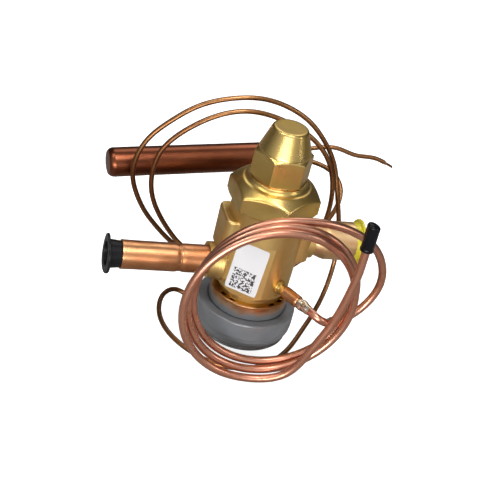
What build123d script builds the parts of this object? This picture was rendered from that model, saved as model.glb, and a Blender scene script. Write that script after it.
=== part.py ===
from build123d import *
from math import cos
from math import radians
from math import sin
from math import tan
import os

# Thermostatic expansion valve with an external equalizer line, all lengths in millimetres.
# The stem axis is upright. The inlet leaves along -X and the outlet, set higher, along +X.
# While it is built, the zero point is where the stem axis meets the inlet's axis.
# On the way out everything is moved so that the zero point is in the mouth of the inlet socket.

# Body: an upright barrel with a block across it for the ports, forged as one piece
barrel_radius = 24.2
barrel_foot_radius = 23.2
block_length = 57.2
block_depth = 26.0
block_corner = 5.0
body_bottom = -15.3
block_bottom = 9.0
block_top = 36.0
body_top = 43.9
edge_break = 0.8
label_flat = 19.8
label_flat_top = 25.4
label_flat_width = 28.0
spot_face = 22.8
spot_face_radius = 6.6

# Clearances
thread_gap = 0.06
braze_gap = 0.05
guide_gap = 0.05
seat_gap = 0.1
loose_gap = 0.3

# Ports
inlet_socket_radius = 8.0
inlet_tube_wall = 0.95
inlet_tube_radius = inlet_socket_radius + inlet_tube_wall
inlet_bore = inlet_socket_radius - 1.0
outlet_level = 20.0
outlet_neck_radius = 9.5
outlet_tube_wall = 1.0
outlet_bore = outlet_neck_radius - 1.9
boss_wall = 2.4
boss_base_ring = 1.2
boss_base_slope = 2.5
inlet_boss_end = 32.0
outlet_boss_end = 31.0
tube_seat_depth = 8.0

# Inlet tube with a socket for a 16 mm pipe, closed by a plug
inlet_mouth = 86.0
bell_depth = 9.0
bell_flare = 0.35
inlet_stop = 52.0
crimp_width = 5.0
crimp_outside = 0.45
crimp_inside = 0.9

# Outlet reducer with a socket for a 22.4 mm pipe, closed by a plug
outlet_socket_radius = 11.2
outlet_mouth = 58.0
outlet_cone_start = 32.0
outlet_cone_end = 39.5
outlet_bell_depth = 7.0

# Plugs
plug_flange = 1.6
plug_wall = 1.3
plug_taper = 0.7
inlet_flange_radius = 12.3
inlet_plug_stretch = 7.4
outlet_flange_radius = 14.5
outlet_plug_stretch = 3.6

# Working bores in the body
chamber_radius = 12.0
chamber_floor = 14.0
orifice_thread_radius = 8.0
rod_radius = 2.45
rod_tip_radius = 1.5
rod_seal_radius = 5.0
rod_seal_length = 5.0
equalizer_bore = 1.6
equalizer_drop_radius = 12.3

# Orifice and cone
orifice_hole = 3.6
orifice_flange_radius = 10.5
orifice_flange = 1.6
cone_tip_radius = 2.4
cone_head_radius = 5.4
cone_head = 1.8
cone_angle = 30.0

# Spring and what holds it
holder_radius = 10.2
holder_flange = 2.2
spring_radius = 7.0
spring_wire = 1.1
spring_turns = 5.0
spring_length = 14.0
pilot_radius = 5.2
pilot_height = 4.0
seat_thickness = 4.0
seat_flats = 20.6

# Bonnet
bonnet_across = 50.0
bonnet_turn = 34.0
gasket_thickness = 0.7
bonnet_side = 9.2
bonnet_flare_radius = 21.0
bonnet_flare_level = 59.8
bonnet_top = 62.6
bonnet_thread_radius = 15.1
bonnet_thread_length = 13.5
bonnet_rim_radius = 17.6
bonnet_gasket_radius = 20.0
bonnet_roof = 46.0
neck_radius = 11.8
neck_top = 73.0

# Spindle and gland
spindle_thread_radius = 4.0
spindle_radius = 3.0
spindle_collar_radius = 6.6
spindle_collar = 1.9
spindle_bottom = 31.0
spindle_square = 4.2
spindle_top = 80.0
packing_radius = 6.0
packing_bottom = 59.0
packing_height = 6.0
gland_thread_radius = 7.0
gland_thread_length = 5.6
gland_head_across = 11.5
gland_head = 4.0

# Seal cap
cap_gasket_thickness = 0.8
cap_across = 32.0
cap_turn = -2.0
cap_hex_height = 17.4
cap_round_radius = 15.9
cap_shoulder_height = 18.0
cap_height = 32.9
cap_cone_radius = 11.3
cap_top_radius = 9.6
cap_top_round = 1.6
cap_thread_depth = 12.5
cap_bore_radius = 8.2
cap_roof = 9.0

# Power element
spigot_radius = 20.0
spigot_bottom = -25.7
element_gasket_thickness = 1.5
element_gasket_hole = 15.0
collar_radius = 25.0
collar_height = 9.7
collar_recess_radius = 23.4
collar_recess_depth = 4.0
ring_inset = 0.4
notch_pairs = 4
notch_pair_angle = 217.0
notch_spread = 10.0
notch_width = 4.2
notch_depth = 2.5
casing_radius = 31.5
casing_wall = 1.8
casing_hole = 14.0
casing_shoulder = 2.4
casing_side_bottom = -38.0
casing_step = 0.4
seam_level = -45.8
seam_radius = 29.2
seam_lip = 2.6
seam_width = 1.2
pan_bottom = -52.3
pan_flat_radius = 15.0
diaphragm_thickness = 0.5
diaphragm_rise = 1.2
plate_radius = 21.0
plate_thickness = 2.6
plate_boss_radius = 6.0
plate_boss = 3.0

# Capillary line and sensing bulb
capillary_radius = 1.6
ferrule_radius = 3.4
ferrule_length = 5.0
bulb_radius = 9.5
bulb_wall = 1.0
bulb_round = 2.5
bulb_left = (-90.0, 66.0, 25.0)
bulb_right = (42.0, 78.4, 35.8)
bulb_plug_length = 7.0
bulb_port_offset = 4.6
tail_radius = 1.5
tail_pinch = 0.7

# Equalizer line
equalizer_level = -4.0
equalizer_side = 300.0
equalizer_ferrule_radius = 3.3
equalizer_ring_radius = 4.6
equalizer_ring = 2.2
equalizer_ferrule_end = 31.0
stub_radius = 3.9
stub_start = 28.0
stub_end = 41.0
braze_end = 50.5
line_radius = 2.5
line_bore = 1.7
coil_start = 90.0
coil_end = 985.0
coil_pitch = 5.4
coil_step = 24.0
rubber_cap_radius = 4.0
rubber_cap_length = 19.0
rubber_cap_grip = 7.0

# Label
label_width = 20.5
label_height = 35.0
label_corner = 1.0
label_level = 5.5
label_shift = -0.8
label_thickness = 0.15
label_tilt = -4.0
label_side = 240.0

# Levels and places that follow from the sizes above
socket_end = inlet_mouth - bell_depth
collar_top = spigot_bottom - element_gasket_thickness + collar_height
casing_top = spigot_bottom - element_gasket_thickness
orifice_top = chamber_floor + orifice_flange
cone_slope = tan(radians(cone_angle))
cone_tip_level = orifice_top - (orifice_hole + seat_gap - cone_tip_radius) / cone_slope
cone_head_level = cone_tip_level + (cone_head_radius - cone_tip_radius) / cone_slope
holder_level = cone_head_level + cone_head
spring_bottom = holder_level + holder_flange
seat_level = spring_bottom + spring_length
bonnet_bottom = body_top + gasket_thickness
bonnet_side_top = bonnet_bottom + bonnet_side
bonnet_thread_bottom = bonnet_bottom - bonnet_thread_length
cap_base = bonnet_top + cap_gasket_thickness
diaphragm_top = seam_level + diaphragm_thickness + diaphragm_rise
plate_top = diaphragm_top + plate_thickness + plate_boss

# The capillary's route from the element to the bulb, in the order of the real line
capillary_points = [
    (-4.5, 7.0, -67.0),
    (-14.0, 24.0, -63.0),
    (-24.0, 37.0, -58.0),
    (-34.0, 42.0, -54.5),
    (-43.5, 35.0, -52.5),
    (-49.5, 21.5, -52.0),
    (-51.0, 7.0, -52.0),
    (-47.5, -9.0, -52.0),
    (-37.0, -26.0, -52.0),
    (-22.0, -38.0, -52.0),
    (-3.0, -41.0, -52.0),
    (18.0, -31.0, -52.0),
    (43.0, -1.0, -51.0),
    (59.0, 20.0, -41.0),
    (67.5, 35.0, -23.0),
    (65.5, 39.5, 4.0),
    (59.5, 44.5, 28.0),
    (53.0, 49.5, 48.0),
    (43.0, 51.0, 62.5),
    (30.0, 51.0, 75.0),
    (14.0, 51.0, 83.5),
    (-3.0, 51.0, 87.5),
    (-22.0, 51.0, 86.0),
    (-43.0, 51.0, 78.5),
    (-59.0, 51.0, 66.0),
    (-70.0, 51.0, 53.5),
    (-75.5, 51.0, 40.0),
    (-76.0, 51.0, 26.5),
    (-71.0, 51.0, 12.0),
    (-63.5, 51.0, -0.5),
    (-54.0, 51.0, -11.5),
    (-41.0, 51.0, -23.5),
    (-12.0, 48.0, -37.0),
    (17.0, 43.0, -38.5),
    (39.0, 40.0, -29.5),
    (50.5, 40.0, -15.5),
    (54.5, 40.5, 2.0),
    (55.5, 41.0, 18.0),
    (53.5, 42.0, 35.0),
    (47.0, 44.0, 51.5),
    (35.0, 45.0, 64.5),
    (11.0, 45.0, 77.0),
    (-14.0, 45.0, 81.0),
    (-31.0, 45.0, 76.5),
    (-45.0, 45.0, 68.0),
    (-56.0, 45.0, 58.0),
    (-62.5, 45.0, 48.0),
    (-65.0, 45.0, 37.0),
    (-64.5, 45.0, 23.5),
    (-61.0, 45.0, 12.0),
    (-55.0, 45.0, 1.0),
    (-47.0, 45.0, -10.0),
    (-36.0, 43.0, -20.5),
    (-12.0, 37.0, -27.0),
    (16.0, 35.0, -24.0),
    (40.0, 39.0, -13.0),
    (56.0, 46.0, 0.0),
    (64.5, 51.0, 13.0),
    (67.0, 58.0, 23.0),
    (63.5, 67.0, 29.0),
    (55.0, 74.5, 31.5),
]

# The pinched filling tail of the bulb
tail_points = [
    (64.0, 78.0, 43.5),
    (78.0, 76.0, 40.5),
    (92.0, 76.0, 39.5),
]
tail_end = (101.0, 76.0, 36.5)

# The equalizer line's route from its stub to the coil, and from the coil to its capped end
lead_points = [
    (29.5, -49.0, -5.2),
    (35.5, -48.0, -8.6),
    (40.5, -43.0, -11.4),
    (46.0, -38.4, -13.3),
    (52.0, -36.5, -13.2),
    (59.5, -34.5, -9.5),
    (66.0, -33.5, -1.5),
    (69.8, -33.5, 11.5),
    (67.3, -34.0, 25.0),
    (59.0, -35.0, 38.0),
    (47.0, -37.0, 47.5),
    (30.0, -39.5, 55.0),
]
leg_points = [
    (14.0, -59.0, -41.0),
    (25.0, -61.5, -20.5),
    (33.5, -63.0, 4.0),
    (37.6, -63.8, 27.0),
]
leg_foot = (39.0, -64.0, 44.0)
leg_top = (39.0, -64.0, 63.0)


def coil_place(angle):
    """Centre of the equalizer coil's strand: it comes forward and sinks a little with each turn."""
    turns = (angle - coil_start) / 360.0
    radius = 49.6 + 0.9 * turns
    centre_x = 1.5 - 2.8 * turns
    centre_z = 8.8 - 1.6 * turns
    x = centre_x + radius * cos(radians(angle))
    z = centre_z + radius * sin(radians(angle))
    return (x, -42.6 - coil_pitch * turns, z)


def coil_points():
    """Places round the coil at equal steps."""
    steps = round((coil_end - coil_start) / coil_step)
    turn = (coil_end - coil_start) / steps
    return [coil_place(coil_start + k * turn) for k in range(steps + 1)]


def turned(*outline):
    """Solid of revolution about the upright axis from (radius, height) corners."""
    line = Plane.XZ * Polyline(*outline, close=True)
    return revolve(make_face(line), Axis.Z)


def ring(outside, inside, low, high):
    """Plain ring about the upright axis."""
    return turned((inside, low), (outside, low), (outside, high), (inside, high))


def disc(radius, low, high):
    """Plain round bar about the upright axis."""
    return Pos(0, 0, (low + high) / 2) * Cylinder(radius, high - low)


def hex_bar(across, low, high, turn):
    """Hexagonal bar about the upright axis."""
    corner = across / 2 / cos(radians(30))
    return extrude(Pos(0, 0, low) * RegularPolygon(corner, 6, rotation=turn), high - low)


def along_x(shape, sign):
    """Turns a solid made about the upright axis so that its top points along +X or -X."""
    return Rot(0, 90 * sign, 0) * shape


def line_from(start, heading, points, end, end_heading):
    """Smooth route through chosen places with a known direction at each end."""
    return Spline(start, *points, end, tangents=[heading, end_heading], tangent_scalars=[1.0, 1.0])


def round_line(route, radius, bore=0.0):
    """Round bar or tube along a route."""
    section = Circle(radius)
    if bore:
        section = section - Circle(bore)
    return sweep(Plane(origin=route @ 0, z_dir=route % 0) * section, path=route)


def side_frame(side, distance, level):
    """Frame on the body's side: its own Z points away from the stem axis."""
    out = Vector(cos(radians(side)), sin(radians(side)), 0)
    return Plane(origin=out * distance + Vector(0, 0, level), x_dir=Vector(0, 0, -1), z_dir=out)


def body_solid():
    """Forged body: barrel, block and port bosses with every bore that works inside it."""
    foot = barrel_foot_radius
    body = turned((0, body_bottom), (foot - 2.4, body_bottom), (foot, body_bottom + 2.8),
                  (barrel_radius, block_top), (barrel_radius, body_top - edge_break),
                  (barrel_radius - edge_break, body_top), (0, body_top))
    outline = RectangleRounded(block_length, block_depth, block_corner)
    block = extrude(Pos(0, 0, block_bottom) * outline, block_top - block_bottom)
    block = fillet(block.faces().sort_by(Axis.Z)[-1].edges(), 2 * edge_break)
    block = chamfer(block.faces().sort_by(Axis.Z)[0].edges(), 2 * edge_break)
    body += block + disc(spigot_radius, spigot_bottom, body_bottom + 1)
    inlet_boss = inlet_tube_radius + boss_wall
    outlet_boss = outlet_neck_radius + boss_wall
    base = inlet_boss + boss_base_ring
    base_end = barrel_radius + boss_base_slope
    body += along_x(turned((0, 0), (base, 0), (base, barrel_radius), (inlet_boss, base_end),
                           (inlet_boss, inlet_boss_end), (0, inlet_boss_end)), -1)
    body += Pos(0, 0, outlet_level) * along_x(disc(outlet_boss, 0, outlet_boss_end), 1)
    # the milled flat for the label, closed at its top, and the spot face under the equalizer's ferrule
    flat_height = label_flat_top - body_bottom
    flat_centre = (label_flat_top + body_bottom) / 2
    body -= side_frame(label_side, label_flat, flat_centre) * Box(
        flat_height, label_flat_width, barrel_radius, align=(Align.CENTER, Align.CENTER, Align.MIN))
    body -= side_frame(equalizer_side, spot_face, equalizer_level) * Cylinder(
        spot_face_radius, barrel_radius, align=(Align.CENTER, Align.CENTER, Align.MIN))
    # the spring chamber, the bonnet's thread and the orifice's seat
    body -= disc(chamber_radius, chamber_floor, body_top)
    body -= disc(bonnet_thread_radius + thread_gap, bonnet_thread_bottom - loose_gap, body_top + 1)
    body -= disc(orifice_thread_radius + thread_gap, 0, chamber_floor + 1)
    # the inlet's passage with its round end, and the outlet's
    body -= along_x(disc(inlet_bore, 0, inlet_boss_end), -1) + Sphere(inlet_bore)
    body -= along_x(disc(inlet_tube_radius + braze_gap, inlet_boss_end - tube_seat_depth, inlet_boss_end + 1), -1)
    body -= Pos(0, 0, outlet_level) * along_x(disc(outlet_bore, 0, outlet_boss_end), 1)
    outlet_seat = disc(outlet_neck_radius + braze_gap, outlet_boss_end - tube_seat_depth, outlet_boss_end + 1)
    body -= Pos(0, 0, outlet_level) * along_x(outlet_seat, 1)
    # the push rod's guide with its seal, and the equalizer's passage down to the element
    body -= disc(rod_radius + guide_gap, spigot_bottom - 1, 0)
    body -= disc(rod_seal_radius + guide_gap, spigot_bottom - 1, spigot_bottom + rod_seal_length)
    body -= side_frame(equalizer_side, equalizer_drop_radius, equalizer_level) * Cylinder(
        equalizer_bore, barrel_radius, align=(Align.CENTER, Align.CENTER, Align.MIN))
    drop_x = equalizer_drop_radius * cos(radians(equalizer_side))
    drop_y = equalizer_drop_radius * sin(radians(equalizer_side))
    body -= Pos(drop_x, drop_y, 0) * disc(equalizer_bore, spigot_bottom - 1, equalizer_level)
    return body


def inlet_tube_solid():
    """Copper inlet tube: belled mouth, 16 mm socket and a crimp that stops the pipe."""
    start = inlet_boss_end - tube_seat_depth
    crimp = inlet_stop - crimp_width / 2
    outline = [
        (inlet_socket_radius, start),
        (inlet_tube_radius, start),
        (inlet_tube_radius, crimp - crimp_width / 2),
        (inlet_tube_radius - crimp_outside, crimp - 0.6),
        (inlet_tube_radius - crimp_outside, crimp + 0.6),
        (inlet_tube_radius, crimp + crimp_width / 2),
        (inlet_tube_radius, socket_end),
        (inlet_tube_radius + bell_flare / 2, inlet_mouth),
        (inlet_socket_radius + bell_flare, inlet_mouth),
        (inlet_socket_radius, socket_end),
        (inlet_socket_radius, crimp + crimp_width / 2),
        (inlet_socket_radius - crimp_inside, crimp + 0.6),
        (inlet_socket_radius - crimp_inside, crimp - 0.6),
        (inlet_socket_radius, crimp - crimp_width / 2),
    ]
    return along_x(turned(*outline), -1)


def outlet_tube_solid():
    """Reducer on the outlet: a neck in the body, a cone and a wide socket."""
    start = outlet_boss_end - tube_seat_depth
    outside = outlet_socket_radius + outlet_tube_wall
    outline = [
        (outlet_neck_radius - outlet_tube_wall, start),
        (outlet_neck_radius, start),
        (outlet_neck_radius, outlet_cone_start),
        (outside, outlet_cone_end),
        (outside, outlet_mouth - outlet_bell_depth),
        (outside + bell_flare / 2, outlet_mouth),
        (outlet_socket_radius + bell_flare, outlet_mouth),
        (outlet_socket_radius, outlet_mouth - outlet_bell_depth),
        (outlet_socket_radius, outlet_cone_end),
        (outlet_neck_radius - outlet_tube_wall, outlet_cone_start),
    ]
    return Pos(0, 0, outlet_level) * along_x(turned(*outline), 1)


def plug_solid(mouth, socket, inside, flange, stretch):
    """Flanged plug, hollow from its outer face: a tapered shank sits in the belled mouth."""
    shank = socket + bell_flare - seat_gap
    tip = mouth - inside
    outer = mouth + stretch
    outline = [
        (0, tip),
        (shank - bell_flare - plug_taper, tip),
        (shank - bell_flare - plug_taper / 2, tip + 1.0),
        (shank, mouth),
        (shank + plug_taper, outer),
        (flange, outer),
        (flange, outer + plug_flange),
        (shank + plug_taper - plug_wall, outer + plug_flange),
        (shank - bell_flare - plug_taper - plug_wall, tip + plug_wall),
        (0, tip + plug_wall),
    ]
    return turned(*outline)


def bonnet_solid():
    """Bonnet: threaded skirt, big hexagon under a turned cone that flares from the cap's threaded neck."""
    corner = bonnet_across / 2 / cos(radians(30))
    dome = make_face(Plane.XZ * (
        Polyline((0, bonnet_bottom), (corner - 1.6, bonnet_bottom), (corner + 1, bonnet_bottom + 1.5),
                 (corner + 1, bonnet_side_top), (bonnet_flare_radius, bonnet_flare_level))
        + ThreePointArc((bonnet_flare_radius, bonnet_flare_level),
                        (bonnet_rim_radius + 0.9, bonnet_flare_level + 1.2), (bonnet_rim_radius, bonnet_top))
        + Polyline((bonnet_rim_radius, bonnet_top), (0, bonnet_top), (0, bonnet_bottom))))
    nut = hex_bar(bonnet_across, bonnet_bottom, bonnet_top, bonnet_turn) & revolve(dome, Axis.Z)
    nut += disc(bonnet_thread_radius, bonnet_thread_bottom, bonnet_bottom)
    nut += disc(neck_radius, bonnet_top, neck_top)
    # the chamber that the spring seat slides in has two flats, so that the seat can't turn
    chamber = disc(chamber_radius, bonnet_thread_bottom, bonnet_roof)
    flats = Pos(0, 0, bonnet_roof) * Box(
        4 * chamber_radius, seat_flats + 2 * guide_gap, 4 * bonnet_thread_length)
    nut -= chamber & flats
    nut -= disc(spindle_radius + guide_gap, bonnet_roof - 1, neck_top + 1)
    nut -= disc(packing_radius + guide_gap, packing_bottom, neck_top + 1)
    nut -= disc(gland_thread_radius + thread_gap, packing_bottom + packing_height, neck_top + 1)
    return nut


def seal_cap_solid():
    """Seal cap: hexagon with chamfered corners, a turned cone above it and a thread inside."""
    shoulder = cap_base + cap_shoulder_height
    top = cap_base + cap_height
    hex_top = cap_base + cap_hex_height
    corner = cap_across / 2 / cos(radians(30))
    bevel = turned((0, cap_base), (corner - 1.2, cap_base), (corner + 0.3, cap_base + 1.2),
                   (corner + 0.3, hex_top - 1.7), (cap_round_radius, hex_top), (0, hex_top))
    cap = hex_bar(cap_across, cap_base, hex_top, cap_turn) & bevel
    crown = make_face(Plane.XZ * (
        Polyline((0, hex_top - 1), (cap_round_radius, hex_top - 1), (cap_round_radius, shoulder),
                 (cap_cone_radius, top - cap_top_round))
        + ThreePointArc((cap_cone_radius, top - cap_top_round),
                        (cap_cone_radius - 0.6, top - 0.35 * cap_top_round), (cap_top_radius, top))
        + Polyline((cap_top_radius, top), (0, top), (0, hex_top - 1))))
    cap += revolve(crown, Axis.Z)
    cap -= disc(neck_radius + thread_gap, cap_base - 1, cap_base + cap_thread_depth)
    cap -= disc(cap_bore_radius, cap_base, top - cap_roof)
    return cap


def spindle_solid():
    """Adjusting spindle: thread below, collar under the bonnet's roof, shank and squared end."""
    collar_high = bonnet_roof - guide_gap
    collar_low = collar_high - spindle_collar
    square_low = spindle_top - 7.0
    spindle = disc(spindle_thread_radius, spindle_bottom, collar_low + 0.5)
    spindle += disc(spindle_collar_radius, collar_low, collar_high)
    spindle += disc(spindle_radius, collar_high - 0.5, square_low)
    square = Pos(0, 0, (square_low + spindle_top) / 2) * Box(spindle_square, spindle_square, 7.0)
    return spindle + square


def spring_solid():
    """Superheat spring with round wire, resting on the holder and under the seat."""
    rise = spring_length - 2 * spring_wire - 2 * loose_gap
    helix = Pos(0, 0, spring_bottom + spring_wire + loose_gap) * Helix(rise / spring_turns, rise, spring_radius)
    wire = Plane(origin=helix @ 0, z_dir=helix % 0) * Circle(spring_wire)
    return sweep(wire, path=helix)


def lock_ring_solid():
    """Slotted ring in the collar's recess, which locks the element on the body."""
    low = collar_top - collar_recess_depth
    high = collar_top - ring_inset
    outside = collar_recess_radius - thread_gap
    lock = ring(outside, spigot_radius + thread_gap, low, high)
    notch = Pos(outside, 0, high) * Box(2 * notch_depth, notch_width, 2 * (high - low))
    for k in range(notch_pairs):
        middle = notch_pair_angle + 360 / notch_pairs * k
        lock -= Rot(0, 0, middle - notch_spread) * notch
        lock -= Rot(0, 0, middle + notch_spread) * notch
    return lock


def upper_casing_solid():
    """Upper casing of the element: a pressed cup, open below, stepped where it turns inwards."""
    side = casing_radius
    step = casing_side_bottom
    outside = (
        Polyline((casing_hole, casing_top), (side - casing_shoulder, casing_top))
        + ThreePointArc((side - casing_shoulder, casing_top), (side - 0.7, casing_top - 0.7),
                        (side, casing_top - casing_shoulder))
        + Polyline((side, casing_top - casing_shoulder), (side, step), (side - casing_step, step - 0.5),
                   (side - casing_step, step - 3.0), (side - 2 * casing_step, step - 3.5))
        + ThreePointArc((side - 2 * casing_step, step - 3.5), (side - 1.5, step - 5.4),
                        (seam_radius, seam_level + seam_width)))
    lip = seam_radius - seam_lip
    top_inside = casing_top - casing_wall
    inside = (
        Polyline((seam_radius, seam_level + seam_width), (seam_radius, seam_level + diaphragm_thickness),
                 (lip, seam_level + diaphragm_thickness), (lip, seam_level + seam_width + casing_wall))
        + ThreePointArc((lip, seam_level + seam_width + casing_wall),
                        (side - casing_wall - 1.2, step - 3.0), (side - casing_wall, step))
        + Polyline((side - casing_wall, step), (side - casing_wall, top_inside - 0.8),
                   (side - casing_wall - 0.8, top_inside), (casing_hole, top_inside),
                   (casing_hole, casing_top)))
    return revolve(make_face(Plane.XZ * (outside + inside)), Axis.Z)


def lower_casing_solid():
    """Lower casing of the element: a shallow pan that holds the charge under the diaphragm."""
    lip = seam_radius - seam_lip
    hole = capillary_radius + braze_gap
    outline = (
        Polyline((seam_radius, seam_level), (seam_radius, seam_level - seam_width))
        + ThreePointArc((seam_radius, seam_level - seam_width), (seam_radius - 4.4, pan_bottom + 1.5),
                        (pan_flat_radius, pan_bottom))
        + Polyline((pan_flat_radius, pan_bottom), (hole, pan_bottom), (hole, pan_bottom + casing_wall),
                   (pan_flat_radius, pan_bottom + casing_wall))
        + ThreePointArc((pan_flat_radius, pan_bottom + casing_wall), (lip - 3.3, pan_bottom + 3.2),
                        (lip, seam_level))
        + Polyline((lip, seam_level), (seam_radius, seam_level)))
    return revolve(make_face(Plane.XZ * outline), Axis.Z)


def diaphragm_solid():
    """Thin metal diaphragm clamped at the seam, bulged up against the plate."""
    low = seam_level
    high = seam_level + diaphragm_thickness
    rise = diaphragm_rise
    lip = seam_radius - seam_lip
    flat = plate_radius - 2.0
    return turned((0, low + rise), (flat, low + rise), (lip, low), (seam_radius, low),
                  (seam_radius, high), (lip, high), (flat, high + rise), (0, high + rise))


def bulb_frame():
    """Frame of the bulb: its own Z runs from the closed end to the end with the ports."""
    start = Vector(*bulb_left)
    way = Vector(*bulb_right) - start
    return Plane(origin=start, x_dir=Vector(0, 0, 1).cross(way), z_dir=way), way.length


def bulb_solid():
    """Bulb: a tube spun shut at one end."""
    frame, length = bulb_frame()
    inner = bulb_radius - bulb_wall
    outline = (
        ThreePointArc((bulb_radius - bulb_round, 0), (bulb_radius - 0.3 * bulb_round, 0.3 * bulb_round),
                      (bulb_radius, bulb_round))
        + Polyline((bulb_radius, bulb_round), (bulb_radius, length), (inner, length), (inner, bulb_round),
                   (inner - 1.5, bulb_wall), (0, bulb_wall), (0, 0), (bulb_radius - bulb_round, 0)))
    return frame * revolve(make_face(Plane.XZ * outline), Axis.Z)


def bulb_port(offset):
    """Both ends of the straight stretch of a line in the bulb's end plug; the offset is upwards."""
    frame, length = bulb_frame()
    inner = frame.from_local_coords(Vector(0, offset, length - bulb_plug_length + 1))
    outer = frame.from_local_coords(Vector(0, offset, length + 1))
    return inner, outer


def bulb_plug_solid():
    """Plug that closes the bulb, with a hole for the capillary and one for the filling tail."""
    frame, length = bulb_frame()
    plug = disc(bulb_radius - bulb_wall - braze_gap, length - bulb_plug_length, length)
    plug = chamfer(plug.faces().sort_by(Axis.Z)[-1].edges(), 0.6)
    plug -= Pos(0, -bulb_port_offset, 0) * disc(
        capillary_radius + braze_gap, length - bulb_plug_length - 1, length + 1)
    plug -= Pos(0, bulb_port_offset, 0) * disc(
        tail_radius + braze_gap, length - bulb_plug_length - 1, length + 1)
    return frame * plug


def capillary_solid():
    """Capillary line from the element's ferrule, by a low loop and two high ones, to the bulb."""
    top = Vector(0, 0, pan_bottom + casing_wall)
    start = Vector(0, 0, pan_bottom - ferrule_length - 1)
    inner, outer = bulb_port(-bulb_port_offset)
    route = line_from(start, (0, 0, -1), capillary_points, outer, (inner - outer).normalized())
    return round_line(Line(top, start) + route + Line(outer, inner), capillary_radius)


def tail_solid():
    """Filling tail: a short capillary, pinched flat and folded down at its end."""
    inner, outer = bulb_port(bulb_port_offset)
    end = Vector(*tail_end)
    route = line_from(outer, (outer - inner).normalized(), tail_points, end, Vector(9, 0, -4).normalized())
    tail = round_line(Line(inner, outer) + route, tail_radius)
    down = route % 1
    pinch = Plane(origin=end, x_dir=Vector(0, 1, 0), z_dir=down)
    flat = RectangleRounded(4.0, 2 * tail_pinch, 0.5)
    return tail + loft([pinch * Circle(tail_radius), (pinch.offset(3.0)) * flat, (pinch.offset(6.0)) * flat])


def equalizer_ferrule_solid():
    """Brass ferrule on the body's spot face, with a ring at its foot."""
    foot = spot_face
    ferrule = turned((equalizer_bore, foot), (equalizer_ring_radius, foot),
                     (equalizer_ring_radius, foot + equalizer_ring - 0.6),
                     (equalizer_ferrule_radius, foot + equalizer_ring),
                     (equalizer_ferrule_radius, equalizer_ferrule_end), (equalizer_bore, equalizer_ferrule_end))
    return side_frame(equalizer_side, 0, equalizer_level) * ferrule


def equalizer_stub_solid():
    """Copper stub that sleeves the ferrule at one end and the line at the other."""
    middle = equalizer_ferrule_end + 1.0
    stub = turned((equalizer_ferrule_radius + braze_gap, stub_start), (stub_radius - 0.3, stub_start),
                  (stub_radius, stub_start + 1.2), (stub_radius, stub_end - 1.0), (stub_radius - 0.5, stub_end),
                  (line_radius + braze_gap, stub_end), (line_radius + braze_gap, middle),
                  (equalizer_ferrule_radius + braze_gap, middle))
    return side_frame(equalizer_side, 0, equalizer_level) * stub


def equalizer_braze_solid():
    """Silver braze that tapers from the stub down to the line."""
    braze = turned((line_radius + braze_gap, stub_end), (stub_radius - 0.5, stub_end),
                   (stub_radius - 0.3, stub_end + 2.5), (line_radius + 0.5, braze_end - 2.0),
                   (line_radius + braze_gap + 0.1, braze_end), (line_radius + braze_gap, braze_end))
    return side_frame(equalizer_side, 0, equalizer_level) * braze


def equalizer_line_solid():
    """Equalizer line: a wide lead behind the coil, the coil's turns and a leg up to the capped end."""
    frame = side_frame(equalizer_side, 0, equalizer_level)
    near = frame.from_local_coords(Vector(0, 0, equalizer_ferrule_end + 1.0))
    far = frame.from_local_coords(Vector(0, 0, braze_end))
    out = frame.z_dir
    bend = line_from(far, out, lead_points + coil_points() + leg_points, leg_foot, (0, 0, 1))
    return round_line(Line(near, far) + bend + Line(leg_foot, leg_top), line_radius, line_bore)


def rubber_cap_solid():
    """Rubber cap pushed over the line's end, with a slanted, rounded top."""
    low = leg_top[2] - rubber_cap_grip
    high = low + rubber_cap_length
    inside = line_radius + guide_gap
    cap = turned((inside, low), (rubber_cap_radius, low), (rubber_cap_radius, high), (0, high),
                 (0, leg_top[2] + guide_gap), (inside, leg_top[2] + guide_gap))
    cap -= Pos(0, 0, high + 2.2) * Rot(0, 24, 0) * Box(30, 30, 8)
    cap = fillet(cap.faces().sort_by(Axis.Z)[-1].edges(), 1.2)
    return Pos(leg_top[0], leg_top[1], 0) * cap


def label_solid():
    """Plain label on the flat that faces front and left."""
    frame = side_frame(label_side, label_flat, label_level)
    sheet = RectangleRounded(label_height, label_width, label_corner, rotation=label_tilt)
    return extrude(frame * (Pos(0, label_shift) * sheet), label_thickness)


def save(name, shape):
    """Writes one piece, moved so that the zero point is in the inlet socket's mouth."""
    export_step(Pos(socket_end, 0, 0) * shape, "parts/" + name + ".step")


os.makedirs("parts", exist_ok=True)

# Body and ports
save("valve_body", body_solid())
save("inlet_tube", inlet_tube_solid())
save("outlet_tube", outlet_tube_solid())
inlet_plug = plug_solid(inlet_mouth, inlet_socket_radius, bell_depth, inlet_flange_radius, inlet_plug_stretch)
save("inlet_plug", along_x(inlet_plug, -1))
outlet_plug = plug_solid(
    outlet_mouth, outlet_socket_radius, outlet_bell_depth, outlet_flange_radius, outlet_plug_stretch)
save("outlet_plug", Pos(0, 0, outlet_level) * along_x(outlet_plug, 1))

# Bonnet, spindle and cap
save("bonnet_nut", bonnet_solid())
save("bonnet_gasket", ring(bonnet_gasket_radius, bonnet_thread_radius + loose_gap, body_top, bonnet_bottom))
save("adjusting_spindle", spindle_solid())
packing_top = packing_bottom + packing_height
save("spindle_packing", ring(packing_radius, spindle_radius + guide_gap, packing_bottom, packing_top))
gland_top = packing_top + gland_thread_length
gland = ring(gland_thread_radius, spindle_radius + guide_gap, packing_top, gland_top)
gland_hex = hex_bar(gland_head_across, gland_top, gland_top + gland_head, 0)
gland += gland_hex - disc(spindle_radius + guide_gap, gland_top - 1, gland_top + gland_head + 1)
save("gland_nut", gland)
save("cap_gasket", ring(bonnet_rim_radius - 1.0, neck_radius + loose_gap, bonnet_top, cap_base))
save("seal_cap", seal_cap_solid())

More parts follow.
